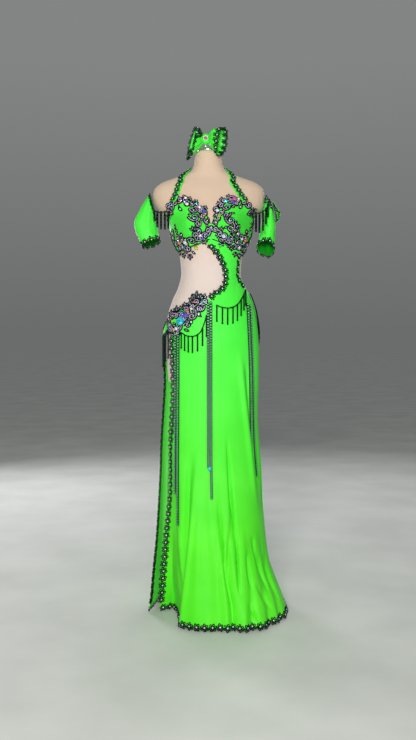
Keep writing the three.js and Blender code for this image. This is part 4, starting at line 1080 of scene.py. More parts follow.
def flower_template():
    points, faces = [], []
    for petal in range(PETALS):
        direction = 2 * math.pi * petal / PETALS
        start = len(points)
        for k in range(PETAL_SIDES):
            turn = 2 * math.pi * k / PETAL_SIDES
            crest = (PETAL_OUTER + PETAL_HOLE) / 2
            for radius, height in ((PETAL_OUTER, 0.0), (crest, PETAL_HEIGHT), (PETAL_HOLE, 0.0)):
                x = PETAL_REACH + radius * math.cos(turn)
                y = PETAL_FLATNESS * radius * math.sin(turn)
                points.append((x * math.cos(direction) - y * math.sin(direction),
                               x * math.sin(direction) + y * math.cos(direction), height))
        for k in range(PETAL_SIDES):
            a, b = start + 3 * k, start + 3 * ((k + 1) % PETAL_SIDES)
            faces += [(a + i, b + i, b + (i + 1) % 3, a + (i + 1) % 3) for i in range(3)]
    middle, middle_faces = stacked([(4.0, 0.0), (3.9, 0.7), (2.8, 1.5)], 8)
    start = len(points)
    points += middle
    faces += [tuple(start + k for k in face) for face in middle_faces]
    return template("lace_flower", points, faces, smooth=True)


FLOWER = flower_template()


EDGE_SAMPLES = 801
PROBE = 0.04  # share of the piece over which its width at the rim is measured


def run_lengths(points):
    return np.concatenate([[0], np.linalg.norm(np.diff(points, axis=0), axis=-1).cumsum()])


class Edge:
    """A strip along one edge of a cloth piece: millimetres along it, inside it and above it."""

    def __init__(self, piece, edge, start=0.0, end=1.0):
        self.piece, self.level, self.far = piece, edge in ("foot", "head"), edge in ("head", "end")
        self.shares = np.linspace(start, end, EDGE_SAMPLES)
        self.lengths = run_lengths(self.rim(self.shares, np.zeros(EDGE_SAMPLES))[0])
        self.length = self.lengths[-1]

    def rim(self, share, inside):
        across = 1 - inside if self.far else inside
        return self.piece.sample(share, across) if self.level else self.piece.sample(across, share)

    def place(self, s, w, h):
        s, w, h = np.broadcast_arrays(np.asarray(s, float), np.asarray(w, float), np.asarray(h, float))
        share = np.interp(s, self.lengths, self.shares)
        near = self.rim(share, np.zeros_like(share))[0]
        inner = self.rim(share, np.full_like(share, PROBE))[0]
        pace = np.linalg.norm(inner - near, axis=-1) / PROBE
        point, normal = self.rim(share, np.clip(w / pace, 0, 0.9))
        point = point + unit(near - inner) * np.maximum(-w, 0)[..., None]
        return point + normal * h[..., None], normal


# %% Lace along the edges
LACE_LIFT = 0.5
FLOWER_WIDTH = 25
FLOWER_TOP = 1.5
FLOWER_STONE = 2.6
# name, piece, edge, start, end, pitch, width of a flower, middle inside the edge, more lift
LACES = [
    ("lace_hem_front", skirt_front, "foot", 0, 1, 25, 29, 1, 0.3),
    ("lace_hem_back", skirt_back, "foot", 0, 1, 25, 29, 1, 0.3),
    ("lace_slit_front", skirt_front, "start", 0.03, 0.97, 25, 29, 1, 0.8),
    ("lace_slit_back", skirt_back, "end", 0.03, 0.97, 25, 29, 1, 0.3),
    ("lace_skirt_top_back", skirt_back, "head", 0.32, 0.99, 24, 26, 2, 0.3),
    ("lace_waist_right", waist_panel, "start", 0.04, 0.97, 23.5, 27, 0, 1.0),
    ("lace_waist_left", waist_panel, "end", 0.04, 0.88, 23.5, 27, 16, 0.6),
    ("lace_halter", strap, "head", 0, 1, 18, 22, 8, 0.8),
    ("lace_sleeve_right", sleeve_right, "head", 0, 0.995, 22, 25, 2, 0.3),
    ("lace_sleeve_left", sleeve_left, "head", 0, 0.995, 22, 25, 2, 0.4),
    ("lace_bow_right", bow_right, "head", 0, 0.995, 20, 24, 2, 0.8),
    ("lace_bow_left", bow_left, "head", 0, 0.995, 20, 24, 2, 0.4),
]
# name of the trim, and for each more row: edge, start, end, pitch, width, middle inside the edge, lift
MORE_ROWS = {
    "lace_slit_back": [(skirt_back, "end", 0.03, 0.97, 25, 29, 1, -2.6)],
    "lace_bow_left": [(bow_left, "head", 0.03, 0.5, 22, 21, 3, -2.4)],
    "lace_bow_right": [(bow_right, "head", 0.3, 0.9, 20, 24, 4, -2.4)],
    "lace_sleeve_left": [(sleeve_left, "foot", 0, 0.995, 15, 17, 2, 0.4),
                         (sleeve_left, "foot", 0, 0.995, 17, 18, 15, 0.4),
                         (ruffle, "start", 0.02, 0.98, 16, 19, 6, 0.4),
                         (ruffle, "end", 0.02, 0.98, 16, 17, 6, 0.4)],
    "lace_sleeve_right": [(sleeve_right, "foot", 0, 0.995, 13, 14, 2, 0.4)],
}


def lace_row(name, piece, side, start, end, pitch, width, inside, lift):
    edge = Edge(piece, side, start, end)
    turned = 1 if (side in ("foot", "end")) != piece.turned else -1
    count = max(1, round(edge.length / pitch))
    step, scale = edge.length / count, width / FLOWER_WIDTH
    flat = grown(name, bpy.data.meshes.new(name), LACE_TREE, {
        "Count": count, "Pitch": step, "Size": scale, "Piece": FLOWER, "Finish": GUIPURE})
    s, w, h = spots_of(flat).T
    bent, _ = edge.place(s, inside + w * turned, h + lift)
    flat.vertices.foreach_set("co", (bent * MM).ravel())
    flat.update()
    middles = (np.arange(count) + 0.5) * step
    places, facing = edge.place(middles, inside, lift + FLOWER_TOP * scale)
    ahead, _ = edge.place(middles + 1, inside, lift + FLOWER_TOP * scale)
    rows = list(zip(places, facing, ahead - places, np.full(count, FLOWER_STONE * scale)))
    stones = set_pieces(name + "_stones", STONE, rows, CRYSTAL, seed=7, size_variation=0.1,
                        turn_variation=math.pi)
    return [flat, stones], count


flowers = 0
for name, *row, more in LACES:
    meshes, count = lace_row(name, *row, LACE_LIFT + more)
    for more_row in MORE_ROWS.get(name, []):
        more_meshes, added = lace_row(name, *more_row)
        meshes, count = meshes + more_meshes, count + added
    joined(name + "_flowers", meshes, name, smooth_angle=60)
    flowers += count
print("lace flowers", flowers)

# %% [markdown]
# The fringes are strings of glass tube beads with a round bead between and a knob at the end.
# They hang from a chain of beads that follows the swag of each panel, and gravity keeps every
# strand plumb over the curve of the hip.

# %% Beaded fringes
BEAD_REST = 1.6  # from the foot of a bead to its middle
STRAND_LIFT = OVER + WALL + 0.7 + BEAD_REST
BEND_LIFT = 0.5
BUGLE_RADIUS = 2.2
BUGLE_PITCH = 9.6
KNOB_RADIUS = 3.2
CHAIN_RADIUS = 2.2
CHAIN_RISE = 3.5  # the chain lies this far above the foot edge of its panel
STRAND_LEVELS = 12
SIDE = 70  # degrees from the front, beyond which a strand keeps its angle


def over_skirt(angle, height, lift):
    point = raised(on_skirt, angle, height, np.full(np.shape(height), lift))
    return point, out_of(on_skirt, angle, height)


def angle_of(x, height):
    left, right, _, _, power = np.moveaxis(fit(SKIRT, height), -1, 0)
    share = (np.abs(x) / np.where(np.asarray(x) > 0, left, right)) ** (power / 2)
    return np.sign(x) * np.degrees(np.arcsin(np.minimum(1, share)))


def along_line(values, lengths=None):
    """A function that gives the values at a length along the line, and the lengths of its points."""
    values = np.asarray(values, float)
    lengths = run_lengths(values) if lengths is None else lengths
    return lambda length: np.array([np.interp(length, lengths, column) for column in values.T]), lengths


def string_of(points, outs, beads, chains, radius=BUGLE_RADIUS):
    """Tube beads, round beads and an end knob along a line from its top to its foot."""
    spot, lengths = along_line(points)
    out, _ = along_line(outs, lengths)
    count = max(1, int((lengths[-1] - KNOB_RADIUS) / BUGLE_PITCH))
    pitch = (lengths[-1] - KNOB_RADIUS) / count
    for k in range(count):
        middle = (k + 0.5) * pitch
        way = spot(middle + 1) - spot(middle - 1)
        beads.append((spot(middle), out(middle), way, radius * pitch / BUGLE_PITCH))
        chains.append((spot(k * pitch), way, out(middle), radius * 0.95))
    way = spot(lengths[-1]) - spot(lengths[-1] - 3)
    chains.append((spot(lengths[-1] - KNOB_RADIUS), way, out(lengths[-1]), KNOB_RADIUS))


def chain_of(points, chains, radius=CHAIN_RADIUS):
    spot, lengths = along_line(points)
    count = int(lengths[-1] / (radius * 1.9))
    for length in np.linspace(0, lengths[-1], count + 1):
        way = spot(length + 1) - spot(length - 1)
        chains.append((spot(length), way, np.cross(way, [0, 0, 1]) + 1e-6, radius))


# name, edge, from, to, strands, lengths, more lift
FRINGES = [
    ("fringe_waist", WAIST_FOOT, 0.1, 0.9, 8, [[0, 54], [1, 54]], BEND_LIFT),
    ("fringe_hip_right", HIP_RIGHT_FOOT, 0.59, 0.955, 7, [[0.5, 52], [0.85, 56], [1, 80]], 0),
    ("fringe_slit", HIP_RIGHT_FOOT, 0.06, 0.3, 4, [[0, 110], [0.3, 90], [0.5, 70]], 0),
    ("fringe_hip_left", HIP_LEFT_FOOT, 0.02, 0.98, 15, [[0, 90], [0.3, 64], [1, 52]], BEND_LIFT),
]
for name, edge, start, end, count, lengths, more in FRINGES:
    lift = STRAND_LIFT + more
    beads, chains = [], []
    line = fit(edge, np.linspace(start, end, 60))
    chain_of(over_skirt(line[:, 0], line[:, 1] + CHAIN_RISE, lift)[0], chains)
    for share in np.linspace(start, end, count):
        angle, height = fit(edge, share)
        height += CHAIN_RISE
        levels = height - fit(lengths, share)[0] * np.linspace(0, 1, STRAND_LEVELS)
        x = on_skirt(angle, height)[0]
        in_front = abs(angle) < SIDE
        plumb = angle_of(np.full(STRAND_LEVELS, x), levels) if in_front else np.full(STRAND_LEVELS, angle)
        points, outs = over_skirt(plumb, levels, lift)
        string_of(points, outs, beads, chains)
    bead_piece(name, beads, chains)
    print(name, count, "strands")

# %% [markdown]
# The long strands are cup chain: a clear rhinestone in a dark enamelled cup, then the next,
# on a flexible tape. The centre one is a double row with a single aqua stone where one ends.

# %% Long crystal strands
# height and x of each strand
STRANDS = {
    "strand_centre": [[[408, 3.5], [508, 1.8], [700, 1.4], [1044, 1]],
                      [[508, -7.5], [700, -7.9], [1044, -8.3]]],
    "strand_right": [[[322, -105.6], [500, -105.6], [700, -104.8], [946, -104]],
                     [[420, -115], [600, -114.4], [700, -114], [946, -113.2]]],
    "strand_left": [[[579, 132.4], [760, 130.4], [860, 128.6], [1040, 120.4]],
                    [[471, 152.4], [600, 143.6], [830, 139], [1040, 130]]],
}
LINK_PITCH = 8.9
LINK_RADIUS = 4.9
LINK_STONE = 2.35
LINK_DEPTH = 2.3  # from the tape to the foot of a stone
LEFT_LIFT = 2.4  # the left strands lie close to the body
DROP_X, DROP_HEIGHT = -3.0, 506.0
TAPE_HALF = 3.0
TAPE_THICK = 1.0


def tape(name, points, outs, half, thick, material):
    """A flat tape along a line: four edges, closed at both ends."""
    points, outs = np.asarray(points, float), unit(np.asarray(outs, float))
    way = unit(np.gradient(points, axis=0))
    side = unit(np.cross(way, outs))
    rings = np.stack([points - side * half, points + side * half, points + side * half + outs * thick,
                      points - side * half + outs * thick], 1)
    faces = [(4 * k + i, 4 * k + (i + 1) % 4, 4 * k + 4 + (i + 1) % 4, 4 * k + 4 + i)
             for k in range(len(points) - 1) for i in range(4)]
    last = 4 * (len(points) - 1)
    faces += [(3, 2, 1, 0), (last, last + 1, last + 2, last + 3)]
    mesh = bpy.data.meshes.new(name)
    mesh.from_pydata((rings.reshape(-1, 3) * MM).tolist(), [], faces)
    mesh.materials.append(material)
    return mesh


for name, strands in STRANDS.items():
    top = strands[0][-1][0]
    lift = LEFT_LIFT if name == "strand_left" else STRAND_LIFT
    links, stones, tapes = [], [], []
    for number, rows in enumerate(strands):
        foot = rows[0][0]
        levels = np.linspace(top + 2, foot + LINK_RADIUS, int((top - foot) / LINK_PITCH) + 1)
        levels = levels - (LINK_PITCH / 2 if number else 0) * np.linspace(1, 0, len(levels))
        x = fit(rows, levels)[:, 0]
        points, outs = over_skirt(angle_of(x, levels), levels, lift - BEAD_REST)
        way = np.gradient(points, axis=0)
        tapes.append(tape(name + "_tape", points, outs, TAPE_HALF, TAPE_THICK, GUIPURE))
        links += list(zip(points + outs * TAPE_THICK, outs, way, np.full(len(x), LINK_RADIUS)))
        stones += list(zip(points + outs * (TAPE_THICK + LINK_DEPTH), outs, way, np.full(len(x), LINK_STONE)))
    parts = tapes + [set_pieces(name + "_cups", CUP_LINK, links, SETTING),
                     set_pieces(name + "_stones", STONE, stones, CHAIN_STONE, seed=3, turn_variation=0.4)]
    if name == "strand_centre":
        level = np.array([DROP_HEIGHT])
        spot, out = over_skirt(angle_of(np.array([DROP_X]), level), level, lift + 1.2)
        parts.append(set_pieces("strand_drop", BIG_STONE, [(spot[0], out[0], (0, 0, 1), 6.5)], AQUA))
    joined(name + "_chain", parts, name, 40)

# %% [markdown]
# A garland of beads swings from the side of each cup to the rim of its sleeve, with tube bead
# strands hanging from it.

# %% Garlands
GARLAND_RADIUS = 3.1
GARLANDS = {
    "garland_right": ([[-134.8, -64.3, 1346], [-144, -78, 1346], [-156, -86, 1344], [-167, -84, 1343],
                       [-179, -72, 1347], [-189, -50, 1355], [-197, -33.2, 1373], [-205, -25.8, 1403]],
                      [[-139, 1346, 1292], [-150, 1345, 1288], [-162.5, 1343, 1288], [-175, 1345, 1296],
                       [-186, 1352, 1318]]),
    "garland_left": ([[134.2, -63, 1343.6], [146, -82, 1340], [156, -86, 1340], [168, -84, 1344],
                      [180, -70, 1354], [189, -48, 1370], [196.6, -33, 1391]],
                     [[149, 1340, 1280], [160, 1340, 1277], [172, 1346, 1284], [183, 1358, 1308],
                      [190, 1372, 1334]]),
}
for name, (line, drops) in GARLANDS.items():
    line = np.array(line, float)
    smooth_line = fit(np.column_stack([np.arange(len(line)), line]), np.linspace(0, len(line) - 1, 60))
    beads, chains = [], []
    chain_of(smooth_line, chains, 2.0)
    order = np.argsort(line[:, 0])
    for x, top, foot in drops:
        y, z = (np.interp(x, line[order, 0], line[order, k]) for k in (1, 2))
        points = [(x, y, z + (foot - z) * t) for t in np.linspace(0, 1, 8)]
        string_of(points, [(0, -1, 0)] * 8, beads, chains, GARLAND_RADIUS)
    bead_piece(name, beads, chains)

# %% [markdown]
# The appliques are scrolls and leaves: a sequin ribbon between two black cords, leaves with a
# corded outline and a sequin fill, small rings, and larger stones between them. The motifs are
# ordinary scrollwork. Each is drawn flat in millimetres and bent over the body, as it is sewn.

# %% Applique motifs
CORD = 1.5
CORD_SIDES = 4
GROUND_HALF = 5.2
RIBBON_HALF = 1.1
SCROLL_TURN = 2 * math.pi * 1.02
SCROLL_POWER = 1.9  # how late the scroll tightens
LAYERS = 5  # heights that motifs take in turn, so that none lies in another
LAYER = 0.3
UPRIGHT = (0.3, 0.1, 1)  # the way from which each stone is turned
GLUE = 0.4  # between the cloth and an applique


def moved(points, angle, place=(0, 0)):
    c, s = math.cos(angle), math.sin(angle)
    x, y = points[:, 0], points[:, 1]
    return np.stack([place[0] + x * c - y * s, place[1] + x * s + y * c], -1)


def leaf(length, width):
    """Outline and middle line of a pointed leaf from the origin along +x."""
    t = np.linspace(0, 1, 8)
    half = width / 2 * np.sin(np.pi * t ** 0.8) ** 0.8
    middle = np.stack([length * t, 0 * t], -1)
    upper, lower = middle + np.stack([0 * t, half], -1), middle - np.stack([0 * t, half], -1)
    return np.concatenate([upper, lower[-2:0:-1]]), middle


def scroll(size, flip):
    """A stem that tightens into a curl, centred on its place."""
    length = 2.0 * size
    t = np.linspace(0, 1, 26)
    turn = flip * SCROLL_TURN * t ** SCROLL_POWER
    steps = np.stack([np.cos(turn), np.sin(turn)], -1) * (length / 25)
    path = np.cumsum(steps, axis=0)
    return path - path.mean(0)


def circle(radius):
    turn = np.linspace(0, 2 * math.pi, 12, endpoint=False)
    return np.stack([radius * np.cos(turn), radius * np.sin(turn)], -1)


class Applique:
    """Flat motifs in millimetres, set on the body beside a place given by angle and height."""

    def __init__(self, surface_lift):
        self.surface_lift = surface_lift
        self.meshes, self.stones, self.count = [], [], 0

    def on_body(self, spot, flat, height):
        angle, level = spot
        degree = np.linalg.norm(on_form(angle + 0.5, level) - on_form(angle - 0.5, level))
        angles, levels = angle + flat[:, 0] / degree, level + flat[:, 1]
        surface, lift = self.surface_lift(angles, levels)
        return raised(surface, angles, levels, lift + height), out_of(surface, angles, levels)

    def cord(self, point, out, closed=False, radius=CORD):
        way = unit(np.roll(point, -1, 0) - np.roll(point, 1, 0) if closed else np.gradient(point, axis=0))
        side = unit(np.cross(way, out))
        turns = 2 * math.pi * (np.arange(CORD_SIDES) + 0.5) / CORD_SIDES
        rings = point[:, None] + radius * (np.cos(turns)[None, :, None] * side[:, None]
                                           + np.sin(turns)[None, :, None] * out[:, None])
        count = len(point)
        faces = [(k * CORD_SIDES + i, k * CORD_SIDES + (i + 1) % CORD_SIDES,
                  (k + 1) % count * CORD_SIDES + (i + 1) % CORD_SIDES, (k + 1) % count * CORD_SIDES + i)
                 for k in range(count if closed else count - 1) for i in range(CORD_SIDES)]
        if not closed:
            last = (count - 1) * CORD_SIDES
            faces += [tuple(reversed(range(CORD_SIDES))), tuple(last + i for i in range(CORD_SIDES))]
        self.keep("cord", rings.reshape(-1, 3), faces, PIPING, smooth=True)

    def keep(self, name, points, faces, material, smooth=False):
        mesh = bpy.data.meshes.new(name)
        mesh.from_pydata((points * MM).tolist(), [], faces)
        mesh.materials.append(material)
        if smooth:
            mesh.shade_smooth()
        self.meshes.append(mesh)

    def ground(self, spot, outline, middle, height):
        """The sequin fill of a leaf: a low closed plate."""
        flat = np.concatenate([outline, middle[1:-1]])
        top, low = self.on_body(spot, flat, height + 0.75)[0], self.on_body(spot, flat, height + 0.1)[0]
        n, rim, half = len(flat), len(outline), len(middle)
        above, below = list(range(half)), [0] + [rim - k for k in range(1, half - 1)] + [half - 1]
        spine = [0] + [rim + k for k in range(half - 2)] + [half - 1]
        faces = []
        for k in range(half - 1):
            faces.append((spine[k], spine[k + 1], above[k + 1], above[k]))
            faces.append((below[k], below[k + 1], spine[k + 1], spine[k]))
        faces = [tuple(dict.fromkeys(face)) for face in faces]
        faces += [tuple(n + k for k in reversed(face)) for face in faces]
        faces += [(n + k, n + (k + 1) % rim, (k + 1) % rim, k) for k in range(rim)]
        faces = [face for face in faces if len(face) > 2]
        self.keep("ground", np.concatenate([top, low]), faces, DARK_SEQUIN)

    def stone(self, spot, kind, size, height=2.2):
        point, out = self.on_body(spot, np.zeros((1, 2)), height)
        self.stones.append((kind, BIG_STONE, (point[0], out[0], UPRIGHT, size)))

    def row_of_stones(self, spot, flat, size, height):
        point, out = self.on_body(spot, flat, height)
        self.stones += [(CRYSTAL, STONE, (p, o, UPRIGHT, size)) for p, o in zip(point, out)]

    def add(self, kind, angle, level, heading, size, flip=1):
        spot, turn, height = (angle, level), math.radians(heading), LAYER * (self.count % LAYERS)
        self.count += 1
        if kind == "scroll":
            path = moved(scroll(size, flip), turn)
            side = unit(np.gradient(path, axis=0))[:, ::-1] * [-1, 1]
            point, out = self.on_body(spot, path, height + 0.2)
            self.meshes.append(tape("ribbon_ground", point - 0.2 * out, out, GROUND_HALF, 0.5, PIPING))
            self.meshes.append(tape("ribbon", point, out, RIBBON_HALF, 1.4, SEQUIN))
            for half in (RIBBON_HALF + CORD * 0.8, -RIBBON_HALF - CORD * 0.8):
                self.cord(*self.on_body(spot, path + side * half, height + 0.8))
            self.row_of_stones(spot, path[2:-1:5], 1.3, height + 1.2)
            self.row_of_stones(spot, path[-1:], 2.6, height + 2.0)
        elif kind == "ring":
            outline = circle(size * 0.75)
            self.cord(*self.on_body(spot, outline, height + 1.0), closed=True, radius=CORD * 1.25)
            self.stone(spot, CRYSTAL, size * 0.42, height + 0.8)
        else:
            for spread, share in ((0, 1.05), (-40, 0.85), (40, 0.85)) if kind == "fan" else ((0, 1.0),):
                way = turn + math.radians(spread)
                outline, middle = leaf(size * share * 1.1, size * share * 0.5)
                outline, middle = moved(outline, way), moved(middle, way)
                self.ground(spot, outline, middle, height)
                self.cord(*self.on_body(spot, outline, height + 0.9), closed=True, radius=CORD * 0.8)
                self.row_of_stones(spot, middle[3:5], 1.4, height + 1.0)

    def finish(self, name):
        groups = {}
        for kind, small, row in self.stones:
            groups.setdefault((kind.name, small.name), (kind, small, []))[2].append(row)
        for seed, (kind, small, rows) in enumerate(groups.values()):
            self.meshes.append(set_pieces(name + "_stones", small, rows, kind, seed=seed + 11,
                                          size_variation=0.1, turn_variation=math.pi))
        joined(name + "_spray", self.meshes, name)


def cup_lift(angles, levels):
    return on_form, np.full(np.shape(angles), CLEAR_BUST + WALL + GLUE)


def under_lift(foot):
    """On the cup above its foot edge, and down onto the body below it."""
    table = sorted([row[1], row[2]] for row in foot)

    def lift(angles, levels):
        inside = levels - fit(table, angles)[..., 0]
        return on_form, 2.0 + (CLEAR_BUST + WALL + GLUE - 2.0) * smoothstep(-12, 0, inside)
    return lift


def hip_lift(angles, levels):
    table = sorted([row[1], row[2]] for row in HIP_RIGHT_TOP)
    inside = fit(table, angles)[..., 0] - levels
    share = smoothstep(-14, 0, inside)
    return on_skirt, (OVER + WALL + GLUE) * share + (1 - share) * 0.2


def panel_lift(angles, levels):
    return on_form, np.full(np.shape(angles), CLEAR + WALL + GLUE)

